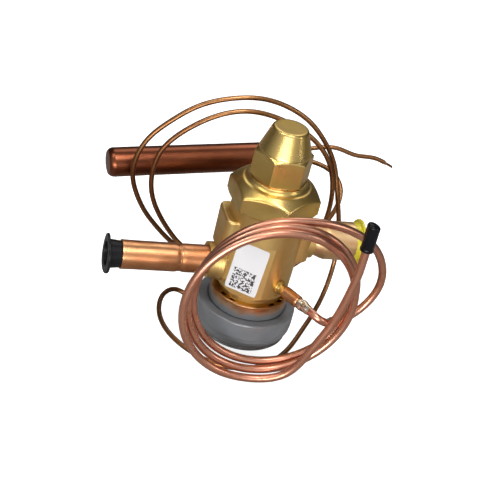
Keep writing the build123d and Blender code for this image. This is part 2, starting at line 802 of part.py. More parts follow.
# Spring, cone and orifice
seat = disc(chamber_radius - loose_gap, seat_level, seat_level + seat_thickness)
seat &= Pos(0, 0, seat_level) * Box(4 * chamber_radius, seat_flats, 4 * seat_thickness)
seat += disc(pilot_radius, seat_level - pilot_height, seat_level)
seat -= disc(spindle_thread_radius + thread_gap, seat_level - pilot_height - 1, seat_level + seat_thickness + 1)
save("spring_seat", seat)
save("superheat_spring", spring_solid())
holder = disc(holder_radius, holder_level, spring_bottom)
holder += disc(pilot_radius, spring_bottom, spring_bottom + pilot_height)
holder = chamfer(holder.faces().sort_by(Axis.Z)[-1].edges(), 0.6)
save("cone_holder", holder)
cone = turned((0, cone_tip_level), (cone_tip_radius, cone_tip_level), (cone_head_radius, cone_head_level),
              (cone_head_radius, holder_level), (0, holder_level))
save("valve_cone", cone)
orifice = turned(
    (orifice_hole, inlet_bore + 0.4), (orifice_thread_radius, inlet_bore + 0.4),
    (orifice_thread_radius, chamber_floor), (orifice_flange_radius, chamber_floor),
    (orifice_flange_radius, orifice_top), (orifice_hole + 1.2 * cone_slope + 2 * seat_gap, orifice_top),
    (orifice_hole, orifice_top - 1.2 - 2 * seat_gap))
save("orifice_seat", orifice)
rod = disc(rod_radius, plate_top, -4.0) + disc(rod_tip_radius, -4.5, cone_tip_level)
save("push_rod", rod)
seal_ring = ring(rod_seal_radius, rod_radius + guide_gap, spigot_bottom, spigot_bottom + rod_seal_length)
save("push_rod_seal", seal_ring)

# Power element
plate_face = diaphragm_top + plate_thickness
plate = turned((0, diaphragm_top), (plate_radius - 3.0, diaphragm_top), (plate_radius, diaphragm_top + 1.0),
               (plate_radius, plate_face), (plate_boss_radius, plate_face), (plate_boss_radius, plate_top),
               (0, plate_top))
save("diaphragm_plate", plate)
save("diaphragm", diaphragm_solid())
save("element_upper_casing", upper_casing_solid())
save("element_lower_casing", lower_casing_solid())
save("element_gasket", ring(spigot_radius - 0.3, element_gasket_hole, casing_top, spigot_bottom))
collar_thread = spigot_radius + thread_gap
recess_floor = collar_top - collar_recess_depth
collar = turned(
    (collar_thread, casing_top), (collar_radius, casing_top), (collar_radius, collar_top - 0.5),
    (collar_radius - 0.5, collar_top), (collar_recess_radius, collar_top),
    (collar_recess_radius, recess_floor), (collar_thread, recess_floor))
save("element_collar", collar)
save("lock_ring", lock_ring_solid())

# Capillary line and bulb
ferrule = ring(ferrule_radius, capillary_radius + braze_gap, pan_bottom - ferrule_length, pan_bottom)
save("capillary_ferrule", chamfer(ferrule.edges().group_by(Axis.Z)[0][-1], 0.8))
save("capillary_tube", capillary_solid())
save("sensing_bulb", bulb_solid())
save("bulb_end_plug", bulb_plug_solid())
save("charging_tail", tail_solid())

# Equalizer line and label
save("equalizer_ferrule", equalizer_ferrule_solid())
save("equalizer_stub", equalizer_stub_solid())
save("equalizer_braze", equalizer_braze_solid())
save("equalizer_tube", equalizer_line_solid())
save("equalizer_cap", rubber_cap_solid())
save("label", label_solid())
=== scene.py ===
import bmesh
import bpy
import math
import numpy as np
from mathutils import Matrix, Vector


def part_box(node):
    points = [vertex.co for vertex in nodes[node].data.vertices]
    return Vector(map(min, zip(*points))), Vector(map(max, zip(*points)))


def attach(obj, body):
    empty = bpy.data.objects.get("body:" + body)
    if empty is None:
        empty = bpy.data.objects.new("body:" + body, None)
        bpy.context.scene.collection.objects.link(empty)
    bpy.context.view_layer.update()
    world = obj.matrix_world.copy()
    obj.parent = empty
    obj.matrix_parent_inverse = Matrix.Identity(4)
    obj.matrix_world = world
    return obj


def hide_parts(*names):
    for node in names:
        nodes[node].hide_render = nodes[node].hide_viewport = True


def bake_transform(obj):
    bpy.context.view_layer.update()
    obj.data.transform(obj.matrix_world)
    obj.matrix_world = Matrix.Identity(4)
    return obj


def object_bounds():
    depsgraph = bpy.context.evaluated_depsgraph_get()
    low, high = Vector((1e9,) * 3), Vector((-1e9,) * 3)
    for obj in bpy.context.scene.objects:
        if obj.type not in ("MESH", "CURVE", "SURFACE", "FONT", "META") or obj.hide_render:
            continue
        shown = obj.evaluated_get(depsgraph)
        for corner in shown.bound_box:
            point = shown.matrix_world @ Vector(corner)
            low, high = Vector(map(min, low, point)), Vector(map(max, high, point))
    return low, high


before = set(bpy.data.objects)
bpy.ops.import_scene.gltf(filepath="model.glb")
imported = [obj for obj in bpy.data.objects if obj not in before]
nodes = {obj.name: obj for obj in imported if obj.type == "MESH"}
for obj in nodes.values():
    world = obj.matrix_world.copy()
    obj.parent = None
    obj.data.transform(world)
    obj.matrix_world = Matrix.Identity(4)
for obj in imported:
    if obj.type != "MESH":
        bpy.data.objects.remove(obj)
cadBox = [[float(v) for v in corner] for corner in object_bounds()]
print("frame loaded with", len(nodes), "nodes")

# Everything below is worked out in millimetres with the zero point where the stem axis meets the inlet's
# axis; toFrame moves it to the CAD frame, whose zero point is in the mouth of the inlet socket.
stemX = 77
perMetre = 1000.0
fullTurn = 2 * math.pi


def toFrame(points):
    return (np.asarray(points, float) + np.array([stemX, 0, 0])) / perMetre


def unit(vector):
    vector = np.asarray(vector, float)
    return vector / np.linalg.norm(vector)


def axisFrame(origin, along, side):
    # right-handed frame: its third direction runs along the piece
    ez = unit(along)
    ex = unit(np.asarray(side, float) - ez * np.dot(side, ez))
    return np.asarray(origin, float), ex, np.cross(ez, ex), ez


def sideWay(degrees):
    # level direction out of the body, at this turn about the stem axis
    return np.array([math.cos(math.radians(degrees)), math.sin(math.radians(degrees)), 0])


def turnsRound(count):
    return np.linspace(0, fullTurn, count, endpoint=False)


upright = axisFrame((0, 0, 0), (0, 0, 1), (1, 0, 0))


def roundOff(corners, size, closed=False, steps=5, share=0.45):
    # each corner becomes a quadratic curve between the two places set back from it along its sides,
    # by no more than the given share of a side
    pts = np.array(corners, float)
    count = len(pts)
    order = range(count) if closed else range(1, count - 1)
    out = [] if closed else [pts[:1]]
    t = np.linspace(0, 1, steps)[:, None]
    for k in order:
        before, here, after = pts[k - 1], pts[k], pts[(k + 1) % count]
        lengthIn = np.linalg.norm(before - here)
        lengthOut = np.linalg.norm(after - here)
        back = min(size, share * lengthIn, share * lengthOut)
        start = here + (before - here) / lengthIn * back
        end = here + (after - here) / lengthOut * back
        out.append((1 - t) ** 2 * start + 2 * t * (1 - t) * here + t ** 2 * end)
    if not closed:
        out.append(pts[-1:])
    return np.concatenate(out)


def arcThrough(a, b, c, steps):
    # circle arc through three (radius, height) places
    a, b, c = (np.array(v, float) for v in (a, b, c))
    d = 2 * (a[0] * (b[1] - c[1]) + b[0] * (c[1] - a[1]) + c[0] * (a[1] - b[1]))
    middle = np.array([
        ((a @ a) * (b[1] - c[1]) + (b @ b) * (c[1] - a[1]) + (c @ c) * (a[1] - b[1])) / d,
        ((a @ a) * (c[0] - b[0]) + (b @ b) * (a[0] - c[0]) + (c @ c) * (b[0] - a[0])) / d])
    angles = np.unwrap([math.atan2(*(p - middle)[::-1]) for p in (a, b, c)])
    t = np.linspace(angles[0], angles[2], steps)
    return middle + np.linalg.norm(a - middle) * np.stack([np.cos(t), np.sin(t)], -1)


def fillIn(profile, step):
    # puts extra places on long straight runs, so that surface changes have something to move
    out = [profile[:1]]
    for a, b in zip(profile[:-1], profile[1:]):
        parts = max(1, int(np.linalg.norm(b - a) / step))
        t = np.linspace(0, 1, parts + 1)[1:, None]
        out.append(a + (b - a) * t)
    return np.concatenate(out)


def gridMesh(name, grid, closeAlong=False, route=None):
    # a grid of places, rings along and places around, becomes quads; around always closes on itself
    rings, around = grid.shape[:2]
    row, column = np.indices((rings if closeAlong else rings - 1, around))
    below, above = row * around, (row + 1) % rings * around
    following = (column + 1) % around
    faces = np.stack([below + column, below + following, above + following, above + column], -1)
    mesh = bpy.data.meshes.new(name)
    mesh.from_pydata(toFrame(grid.reshape(-1, 3)).tolist(), [], faces.reshape(-1, 4).tolist())
    if route:
        along, turn = route
        here, ahead = along[row], along[np.minimum(row + 1, rings - 1)]
        low = turn[column]
        high = low + turn[1]
        u = np.stack([here, here, ahead, ahead], -1)
        v = np.stack([low, high, high, low], -1)
        mesh.uv_layers.new(name="route").data.foreach_set("uv", np.stack([u, v], -1).reshape(-1))
    return mesh


def inScene(name, data):
    made = bpy.data.objects.new(name, data)
    bpy.context.scene.collection.objects.link(made)
    return made


def putBack(work, mesh):
    # ends the changes to a mesh and shows it as an object of the same name
    work.to_mesh(mesh)
    work.free()
    return inScene(mesh.name, mesh)


def keepFlats(piece):
    # large faces set the normals, so that flats look flat beside rounded edges
    modifier = piece.modifiers.new("faceNormals", "WEIGHTED_NORMAL")
    modifier.weight = 80


def finishMesh(mesh, body, replaced, material, weighted=True):
    # closes poles and seams, turns the faces outwards, puts the piece on its body and dresses it
    work = bmesh.new()
    work.from_mesh(mesh)
    bmesh.ops.remove_doubles(work, verts=work.verts, dist=1e-6)
    bmesh.ops.dissolve_degenerate(work, edges=work.edges, dist=1e-7)
    edges = [e for e in work.edges if e.is_boundary]
    if edges:
        bmesh.ops.holes_fill(work, edges=edges, sides=0)
    bmesh.ops.recalc_face_normals(work, faces=work.faces)
    for face in work.faces:
        face.smooth = True
    piece = putBack(work, mesh)
    if weighted:
        keepFlats(piece)
    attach(piece, body)
    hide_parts(*replaced)
    dress(piece, material)


def turnedPiece(name, profile, place, body, replaced, around, material, closed=True, shape=None):
    # surface of revolution from (radius, height) places: a closed profile is a ring, an open one starts and
    # ends on the axis, and shape may change both by turn
    origin, ex, ey, ez = place
    turn = turnsRound(around)
    radius = np.repeat(profile[:, :1], around, 1)
    height = np.repeat(profile[:, 1:], around, 1)
    if shape:
        radius, height = shape(radius, height, turn[None, :])
    out = origin + (radius * np.cos(turn))[..., None] * ex + (radius * np.sin(turn))[..., None] * ey
    mesh = gridMesh(name, out + height[..., None] * ez, closeAlong=closed)
    finishMesh(mesh, body, replaced, material)


def walkedAlong(line):
    # distance from the line's start to each of its places
    return np.r_[0, np.cumsum(np.linalg.norm(np.diff(line, axis=0), axis=1))]


def splineThrough(points, startWay, endWay, step, fineStep=0.2):
    # cubic spline through the places, with distance as its parameter and given end directions,
    # then cut at equal steps
    pts = np.asarray(points, float)
    knots = walkedAlong(pts)
    gap = np.diff(knots)
    count = len(pts)
    system = np.zeros((count, count))
    right = np.zeros((count, 3))
    slope = np.diff(pts, axis=0) / gap[:, None]
    inner = np.arange(1, count - 1)
    system[inner, inner - 1] = gap[1:]
    system[inner, inner] = 2 * (gap[:-1] + gap[1:])
    system[inner, inner + 1] = gap[:-1]
    right[inner] = 3 * (gap[1:, None] * slope[:-1] + gap[:-1, None] * slope[1:])
    system[0, 0] = system[-1, -1] = 1
    right[0], right[-1] = unit(startWay), unit(endWay)
    way = np.linalg.solve(system, right)
    fine = np.linspace(0, knots[-1], int(knots[-1] / fineStep))
    k = np.clip(np.searchsorted(knots, fine, side="right") - 1, 0, count - 2)
    h = gap[k][:, None]
    t = (fine - knots[k])[:, None] / h
    line = (pts[k] * (2 * t ** 3 - 3 * t ** 2 + 1) + way[k] * h * (t ** 3 - 2 * t ** 2 + t)
            + pts[k + 1] * (3 * t ** 2 - 2 * t ** 3) + way[k + 1] * h * (t ** 3 - t ** 2))
    walked = walkedAlong(line)
    places = np.linspace(0, walked[-1], max(2, int(walked[-1] / step)))
    return np.stack([np.interp(places, walked, line[:, axis]) for axis in range(3)], -1)


def withStraights(before, bend, after, steps):
    # a bend between two straight stretches
    return np.concatenate([np.linspace(*before, steps[0], endpoint=False), bend,
                           np.linspace(*after, steps[1])[1:]])


def sweptPiece(name, line, ex, ey, wide, thin, replaced, around, material, slotName):
    # an oval carried along a line; its route map holds the metres along it and the turns round it
    walked = walkedAlong(line)
    turn = turnsRound(around)
    grid = (line[:, None] + np.reshape(wide, (-1, 1, 1)) * np.cos(turn)[:, None] * ex[:, None]
            + np.reshape(thin, (-1, 1, 1)) * np.sin(turn)[:, None] * ey[:, None])
    mesh = gridMesh(name, grid, route=(walked / perMetre, turn / fullTurn))
    finishMesh(mesh, "valve", replaced, material, weighted=False)


def tubePiece(name, line, radius, *rest):
    # a circle carried along a line, with cross directions that don't twist
    way = np.gradient(line, axis=0)
    way /= np.linalg.norm(way, axis=1)[:, None]
    across = np.zeros_like(way)
    across[0] = unit(np.cross(way[0], (0.3, 0.9, 0.2)))  # from any direction off the line
    for k in range(1, len(way)):
        across[k] = unit(across[k - 1] - way[k] * np.dot(across[k - 1], way[k]))
    sweptPiece(name, line, across, np.cross(way, across), radius, radius, *rest)


# Shader maths

class Shade:
    # wraps one socket, so that sums and products on it add Math nodes
    def __init__(self, shading, socket):
        self.shading = shading
        self.socket = socket

    def maths(self, kind, other, swap=False):
        pair = (other, self) if swap else (self, other)
        return self.shading.node("Math", {"operation": kind}, {0: pair[0], 1: pair[1]})

    def __add__(self, other):
        return self.maths("ADD", other)

    def __sub__(self, other):
        return self.maths("SUBTRACT", other)

    def __rsub__(self, other):
        return self.maths("SUBTRACT", other, swap=True)

    def __mul__(self, other):
        return self.maths("MULTIPLY", other)

    def size(self):
        return self.maths("ABSOLUTE", 0)

    def over(self, level):
        return self.maths("GREATER_THAN", level)


class Shading:
    # one shader tree; node() adds any node, its settings first and then its sockets
    def __init__(self, tree):
        self.tree = tree

    def node(self, kind, settings=None, sockets=None, out=0):
        made = self.tree.nodes.new("ShaderNode" + kind)
        for key, value in (settings or {}).items():
            setattr(made, key, value)
        self.link(made, sockets or {})
        return Shade(self, made.outputs[out]) if made.outputs else made

    def link(self, made, sockets):
        for key, value in sockets.items():
            target = made.inputs[key]
            if isinstance(value, Shade):
                self.tree.links.new(value.socket, target)
            elif isinstance(value, tuple) and len(value) == 3 and target.type == "RGBA":
                target.default_value = (*value, 1)
            else:
                target.default_value = value

    def dot(self, vector, way):
        return self.node("VectorMath", {"operation": "DOT_PRODUCT"}, {0: vector, 1: tuple(way)}, out="Value")

    def level(self, value, low, high, fromLow=0, fromHigh=1):
        return self.node("MapRange", None, {"Value": value, "From Min": fromLow, "From Max": fromHigh,
                                            "To Min": low, "To Max": high})

    def ramp(self, value, stops):
        made = self.tree.nodes.new("ShaderNodeValToRGB")
        elements = made.color_ramp.elements
        while len(elements) < len(stops):
            elements.new(0.5)
        for element, (place, colour) in zip(elements, stops):
            element.position = place
            element.color = (*colour, 1)
        self.link(made, {0: value})
        return Shade(self, made.outputs[0])


socketNames = {"colour": "Base Color", "rough": "Roughness", "metal": "Metallic", "coat": "Coat Weight",
               "coatRough": "Coat Roughness", "normal": "Normal", "specular": "Specular IOR Level"}


class Paint(Shading):
    # one material of a piece
    def __init__(self, name):
        self.material = bpy.data.materials.new(name)
        self.material.use_nodes = True
        super().__init__(self.material.node_tree)
        self.shader = self.tree.nodes["Principled BSDF"]

    def coords(self, scale=(1, 1, 1), onRoute=False):
        # the frame's own coordinates, or metres and turns on a swept piece
        base = self.node("UVMap", {"uv_map": "route"}) if onRoute else self.node("TexCoord", out="Object")
        return self.node("Mapping", None, {"Vector": base, "Scale": scale})

    def noise(self, scale, detail, rough, where=None):
        return self.node("TexNoise", None, {"Vector": where or self.coords(), "Scale": scale,
                                            "Detail": detail, "Roughness": rough})

    def mix(self, share, first, second):
        return self.node("Mix", {"data_type": "RGBA"}, {0: share, 6: first, 7: second}, out=2)

    def bump(self, height, distance, strength, under=None):
        sockets = {"Height": height, "Distance": distance, "Strength": strength}
        if under:
            sockets["Normal"] = under
        return self.node("Bump", None, sockets)

    def finish(self, **sockets):
        self.link(self.shader, {socketNames[key]: value for key, value in sockets.items()})
        return self.material


def brassPaint(name, light, deep, shadow, driftScale, rough, marks, markDepth):
    # turned or forged brass: drifting tone, fine turning marks, dull handled patches and small nicks
    p = Paint(name)
    drift = p.noise(driftScale, 3, 0.5)
    grime = p.noise(420, 6, 0.65)
    colour = p.mix(p.level(drift, 0, 1, 0.35, 0.68), light, deep)
    colour = p.mix(p.level(grime, 0, 0.22, 0.58, 0.82), colour, shadow)
    turning = p.noise(1, 3, 0.6, p.coords(marks))
    nicks = p.noise(900, 2, 0.5)
    dull = p.level(drift, *rough, 0.3, 0.7) + p.level(nicks, 0, 0.06, 0.5, 0.8)
    fine = p.bump(turning, 0.00004, markDepth)
    return p.finish(colour=colour, rough=dull, metal=1, normal=p.bump(grime, 0.00006, 0.1, fine))


def tubePaint(name, light, deep, streak, streakScale, streakDepth, spot, spotShare, spotScale, tintScale,
              rough, dentDepth, wear=0.12, onRoute=False):
    # drawn copper tube: long streaks along it, heat tints that wander, and faint handling dents
    p = Paint(name)
    streaks = p.noise(3, 4, 0.6, p.coords(streakScale, onRoute))
    tint = p.noise(tintScale, 4, 0.55)
    spots = p.noise(spotScale, 5, 0.7)
    colour = p.mix(p.level(tint, 0, 1, 0.36, 0.66), light, deep)
    colour = p.mix(p.level(streaks, 0, 0.5, 0.42, 0.72), colour, streak)
    colour = p.mix(p.level(spots, 0, spotShare, 0.58, 0.72), colour, spot)
    dull = p.level(tint, *rough, 0.3, 0.7) + p.level(spots, 0, wear, 0.5, 0.8)
    marks = p.bump(streaks, 0.00002, streakDepth)
    dents = p.bump(p.noise(60, 2, 0.5), 0.0003, dentDepth, marks)
    return p.finish(colour=colour, rough=dull, metal=1, normal=dents)


def plainPaint(name, colour, dark, rough, metal=0, coat=0, grain=300, grainDepth=0.1, specular=0.5):
    # moulded or plated surface, or soft packing: slight tone change and fine grain
    p = Paint(name)
    cloud = p.noise(70, 4, 0.6)
    fine = p.noise(grain, 5, 0.6)
    tone = p.mix(p.level(cloud, 0, 1, 0.3, 0.7), colour, dark)
    dust = p.level(fine, rough, rough + 0.12, 0.4, 0.8)
    return p.finish(colour=tone, rough=dust, metal=metal, coat=coat, coatRough=0.06, specular=specular,
                    normal=p.bump(fine, 0.00008, grainDepth))


brasses = {
    "forgedBrass": {
        "light": (0.74, 0.51, 0.2), "deep": (0.62, 0.4, 0.13), "shadow": (0.4, 0.24, 0.07),
        "driftScale": 45, "rough": (0.4, 0.5), "marks": (500, 500, 60), "markDepth": 0.25},
    "turnedBrass": {
        "light": (0.72, 0.51, 0.18), "deep": (0.6, 0.4, 0.11), "shadow": (0.34, 0.2, 0.05),
        "driftScale": 55, "rough": (0.25, 0.36), "marks": (40, 40, 1500), "markDepth": 0.4},
    "goldRing": {
        "light": (0.46, 0.26, 0.05), "deep": (0.3, 0.15, 0.025), "shadow": (0.12, 0.05, 0.01),
        "driftScale": 90, "rough": (0.28, 0.42), "marks": (60, 60, 1500), "markDepth": 0.3},
}
drawnStreaks = {"streakScale": (12, 160, 160), "streakDepth": 0.15}
lineStreaks = {"streakScale": (20, 6, 1), "streakDepth": 0.3, "onRoute": True}
coppers = {
    "coilCopper": {
        "light": (0.8, 0.41, 0.28), "deep": (0.64, 0.28, 0.18), "streak": (0.46, 0.16, 0.09),
        "spot": (0.28, 0.08, 0.04), "spotShare": 0.35, "spotScale": 160, "tintScale": 28,
        "rough": (0.24, 0.36), "dentDepth": 0.05, **lineStreaks},
    "capillaryCopper": {
        "light": (0.44, 0.22, 0.09), "deep": (0.14, 0.05, 0.02), "streak": (0.26, 0.1, 0.04),
        "spot": (0.05, 0.018, 0.01), "spotShare": 0.6, "spotScale": 120, "tintScale": 14,
        "rough": (0.26, 0.42), "dentDepth": 0.05, **lineStreaks},
    "bulbCopper": {
        "light": (0.25, 0.08, 0.037), "deep": (0.17, 0.05, 0.023), "streak": (0.27, 0.095, 0.048),
        "spot": (0.3, 0.12, 0.07), "spotShare": 0.2, "spotScale": 90, "tintScale": 18,
        "rough": (0.28, 0.32), "dentDepth": 0.01, "wear": 0.02,
        "streakScale": (5, 40, 40), "streakDepth": 0},
    "inletCopper": {
        "light": (0.76, 0.4, 0.19), "deep": (0.56, 0.23, 0.1), "streak": (0.66, 0.31, 0.14),
        "spot": (0.3, 0.1, 0.05), "spotShare": 0.4, "spotScale": 130, "tintScale": 40,
        "rough": (0.26, 0.36), "dentDepth": 0.08, **drawnStreaks},
    "outletCopper": {
        "light": (0.86, 0.59, 0.31), "deep": (0.76, 0.46, 0.22), "streak": (0.66, 0.36, 0.16),
        "spot": (0.4, 0.17, 0.08), "spotShare": 0.3, "spotScale": 120, "tintScale": 40,
        "rough": (0.34, 0.46), "dentDepth": 0.05, **drawnStreaks},
}
plains = {
    "turnedSteel": {"colour": (0.5, 0.5, 0.5), "dark": (0.42, 0.42, 0.42), "rough": 0.3, "metal": 1},
    "silverBraze": {"colour": (0.72, 0.66, 0.56), "dark": (0.45, 0.36, 0.27), "rough": 0.24, "metal": 1,
                    "grain": 500, "grainDepth": 0.5},
    "packing": {"colour": (0.05, 0.05, 0.05), "dark": (0.03, 0.03, 0.03), "rough": 0.6},
    "blackPlastic": {"colour": (0.004, 0.004, 0.005), "dark": (0.008, 0.008, 0.009), "rough": 0.34,
                     "specular": 0.2},
    "yellowPlastic": {"colour": (0.66, 0.58, 0.02), "dark": (0.55, 0.47, 0.015), "rough": 0.35, "coat": 0.2},
    "blackRubber": {"colour": (0.003, 0.003, 0.004), "dark": (0.006, 0.006, 0.007), "rough": 0.2,
                    "specular": 0.2},
}
materials = {}
for paint, group in ((brassPaint, brasses), (tubePaint, coppers), (plainPaint, plains)):
    for name, settings in group.items():
        materials[name] = paint(name, **settings)


def coatWith(piece, material):
    piece.data.materials.clear()
    piece.data.materials.append(materials[material])


def dress(piece, material):
    coatWith(piece, material)


print("materials made")

# Equalizer line: the lead behind the coil, the coil's turns, and the leg up to the rubber cap

equalizer = {
    "side": 300, "level": -4, "near": 32, "far": 50.5, "radius": 2.5, "step": 0.75,
    "lead": [(29.5, -49, -5.2), (35.5, -48, -8.6), (40.5, -43, -11.4), (46, -38.4, -13.3),
             (52, -36.5, -13.2), (59.5, -34.5, -9.5), (66, -33.5, -1.5), (69.8, -33.5, 11.5),
             (67.3, -34, 25), (59, -35, 38), (47, -37, 47.5), (30, -39.5, 55)],
    "coilFrom": 90, "coilTo": 985, "coilStep": 24, "coilRadius": 49.6, "coilGrowth": 0.9,
    "coilCentre": (1.5, -42.6, 8.8), "coilShift": (-2.8, -5.4, -1.6),
    "leg": [(14, -59, -41), (25, -61.5, -20.5), (33.5, -63, 4), (37.6, -63.8, 27)],
    "foot": (39, -64, 44), "top": (39, -64, 63),
}


def coilLine(e):
    # the coil's centre comes forward, sinks and shifts with each turn, and its radius grows a little
    angle = np.linspace(e["coilFrom"], e["coilTo"], round((e["coilTo"] - e["coilFrom"]) / e["coilStep"]) + 1)
    turns = (angle - e["coilFrom"]) / 360
    radius = e["coilRadius"] + e["coilGrowth"] * turns
    x, y, z = (start + shift * turns for start, shift in zip(e["coilCentre"], e["coilShift"]))
    return np.stack([x + radius * np.cos(np.radians(angle)), y, z + radius * np.sin(np.radians(angle))], -1)


stubFrame = axisFrame((0, 0, equalizer["level"]), sideWay(equalizer["side"]), (0, 0, -1))
stubWay = stubFrame[3]
stubStart = stubFrame[0] + stubWay * equalizer["near"]
stubEnd = stubFrame[0] + stubWay * equalizer["far"]
bend = splineThrough([stubEnd] + equalizer["lead"] + list(coilLine(equalizer)) + equalizer["leg"]
                     + [equalizer["foot"]], stubWay, (0, 0, 1), equalizer["step"])
equalizerRoute = withStraights((stubStart, stubEnd), bend, (equalizer["foot"], equalizer["top"]), (24, 26))
tubePiece("equalizerLine", equalizerRoute, equalizer["radius"], ["equalizer_tube"], 28, "coilCopper",
          "copper")

# Capillary line

capillary = {
    "radius": 1.6, "step": 0.7, "top": (0, 0, -50.5), "start": (0, 0, -58.3),
    "points": [
        (-4.5, 7, -67), (-14, 24, -63), (-24, 37, -58), (-34, 42, -54.5),
        (-43.5, 35, -52.5), (-49.5, 21.5, -52), (-51, 7, -52), (-47.5, -9, -52),
        (-37, -26, -52), (-22, -38, -52), (-3, -41, -52), (18, -31, -52),
        (43, -1, -51), (59, 20, -41), (67.5, 35, -23), (65.5, 39.5, 4),
        (59.5, 44.5, 28), (53, 49.5, 48), (43, 51, 62.5), (30, 51, 75),
        (14, 51, 83.5), (-3, 51, 87.5), (-22, 51, 86), (-43, 51, 78.5),
        (-59, 51, 66), (-70, 51, 53.5), (-75.5, 51, 40), (-76, 51, 26.5),
        (-71, 51, 12), (-63.5, 51, -0.5), (-54, 51, -11.5), (-41, 51, -23.5),
        (-12, 48, -37), (17, 43, -38.5), (39, 40, -29.5), (50.5, 40, -15.5),
        (54.5, 40.5, 2), (55.5, 41, 18), (53.5, 42, 35), (47, 44, 51.5),
        (35, 45, 64.5), (11, 45, 77), (-14, 45, 81), (-31, 45, 76.5),
        (-45, 45, 68), (-56, 45, 58), (-62.5, 45, 48), (-65, 45, 37),
        (-64.5, 45, 23.5), (-61, 45, 12), (-55, 45, 1), (-47, 45, -10),
        (-36, 43, -20.5), (-12, 37, -27), (16, 35, -24), (40, 39, -13),
        (56, 46, 0), (64.5, 51, 13), (67, 58, 23), (63.5, 67, 29),
        (55, 74.5, 31.5)],
}
bulb = {
    "left": (-90, 66, 25), "right": (42, 78.4, 35.8), "radius": 9.5, "wall": 1, "floorRound": 2.5,
    "plug": 7, "port": 4.6, "tailRadius": 1.5, "tailStep": 0.5,
    "tail": [(64, 78, 43.5), (78, 76, 40.5), (92, 76, 39.5)], "tailEnd": (101, 76, 36.5),
    "tailWay": (9, 0, -4), "tip": 6,
    "pinchFrom": 7.5, "pinchRun": 3.5, "pinchWide": 0.33, "pinchThin": 0.55,
}
bulbWay = unit(np.subtract(bulb["right"], bulb["left"]))
bulbLength = float(np.linalg.norm(np.subtract(bulb["right"], bulb["left"])))
bulbFrame = axisFrame(bulb["left"], bulbWay, np.cross((0, 0, 1), bulbWay))


def bulbPort(offset):
    # both ends of a line's straight stretch in the bulb's end plug
    origin, ex, ey, ez = bulbFrame
    base = origin + ey * offset
    return base + ez * (bulbLength - bulb["plug"] + 1), base + ez * (bulbLength + 1)


innerPort, outerPort = bulbPort(-bulb["port"])
capillaryBend = splineThrough([capillary["start"]] + capillary["points"] + [outerPort],
                              (0, 0, -1), -bulbWay, capillary["step"])
capillaryRoute = withStraights((capillary["top"], capillary["start"]), capillaryBend,
                               (outerPort, innerPort), (12, 10))
tubePiece("capillaryLine", capillaryRoute, capillary["radius"], ["capillary_tube"], 18, "capillaryCopper",
          "dark_copper")
print("tubes made")

# Bulb and its filling tail

bulbBore = bulb["radius"] - bulb["wall"]


def bulbProfile(radius, wall, floorRound, **others):
    return fillIn(roundOff([
        (0, 0), (radius - 1.6, 0), (radius, 2.6), (radius, bulbLength), (bulbBore, bulbLength),
        (bulbBore, floorRound), (bulbBore - 1.5, wall), (0, wall)], 1.4), 3)


def bulbShape(radius, height, turn):
    # a faint waist and handling dents along the drawn tube
    waist = 0.04 * np.sin(height * 0.13 + 1) * np.cos(2 * turn + 0.5)
    dents = 0.03 * np.sin(height * 0.31 + turn * 3)
    return radius - np.abs(waist + dents) * (radius > bulbBore), height


turnedPiece("bulbShell", bulbProfile(**bulb), bulbFrame, "valve", ["sensing_bulb"], 120, "bulbCopper",
            False, bulbShape)

tailIn, tailOut = bulbPort(bulb["port"])
tailWay = unit(bulb["tailWay"])
tailBend = splineThrough([tailOut] + bulb["tail"] + [bulb["tailEnd"]], bulbWay, tailWay, bulb["tailStep"])
tailTip = np.array(bulb["tailEnd"]) + tailWay * bulb["tip"]
tailRoute = withStraights((tailIn, tailOut), tailBend, (bulb["tailEnd"], tailTip), (8, 14))


def pinchedTail(name, line, b):
    # a round line whose last millimetres flatten: the section narrows upright and widens sideways
    way = np.gradient(line, axis=0)
    way /= np.linalg.norm(way, axis=1)[:, None]
    side = np.cross(way, (0, 0, 1))
    side /= np.linalg.norm(side, axis=1)[:, None]
    up = np.cross(side, way)
    walked = walkedAlong(line)
    flat = np.clip((walked - walked[-1] + b["pinchFrom"]) / b["pinchRun"], 0, 1)
    flat = flat * flat * (3 - 2 * flat)
    wide = b["tailRadius"] * (1 + b["pinchWide"] * flat)
    thin = b["tailRadius"] * (1 - b["pinchThin"] * flat)
    sweptPiece(name, line, side, up, wide, thin, ["charging_tail"], 24, "capillaryCopper", "dark_copper")


pinchedTail("fillingTail", tailRoute, bulb)
print("bulb made")

# Hexagon pieces: a turned profile whose radius never passes the hexagon's sides


def softMin(a, b, soft):
    # smaller of two lengths, with the crease between them rounded over about soft millimetres
    blend = np.clip(0.5 + 0.5 * (b - a) / soft, 0, 1)
    return b * (1 - blend) + a * blend - soft * blend * (1 - blend)


def hexShape(across, turnDegrees, low, high, soft):
    # between two heights the radius is the smaller of the turned one and the hexagon's
    def shape(radius, height, turn):
        fromFlat = (turn - math.radians(turnDegrees)) % (math.pi / 3) - math.pi / 6
        flat = np.broadcast_to(across / 2 / np.cos(fromFlat), radius.shape)
        inside = (height >= low - 1e-6) & (height <= high + 1e-6)
        return np.where(inside, softMin(radius, flat, soft), radius), height
    return shape


def hexCorner(across):
    return across / 2 / math.cos(math.radians(30))


bonnet = {"across": 50, "turn": 34, "bottom": 44.6, "sideTop": 53.8, "top": 62.6, "rim": 17.6,
          "flare": 21, "flareLevel": 59.8, "thread": 15.1, "threadBottom": 31.1, "neck": 11.8,
          "neckTop": 73, "bore": 3.05, "roof": 46, "chamber": 10.4, "packing": 6.05,
          "packingBottom": 59, "gland": 7.06, "glandBottom": 65}


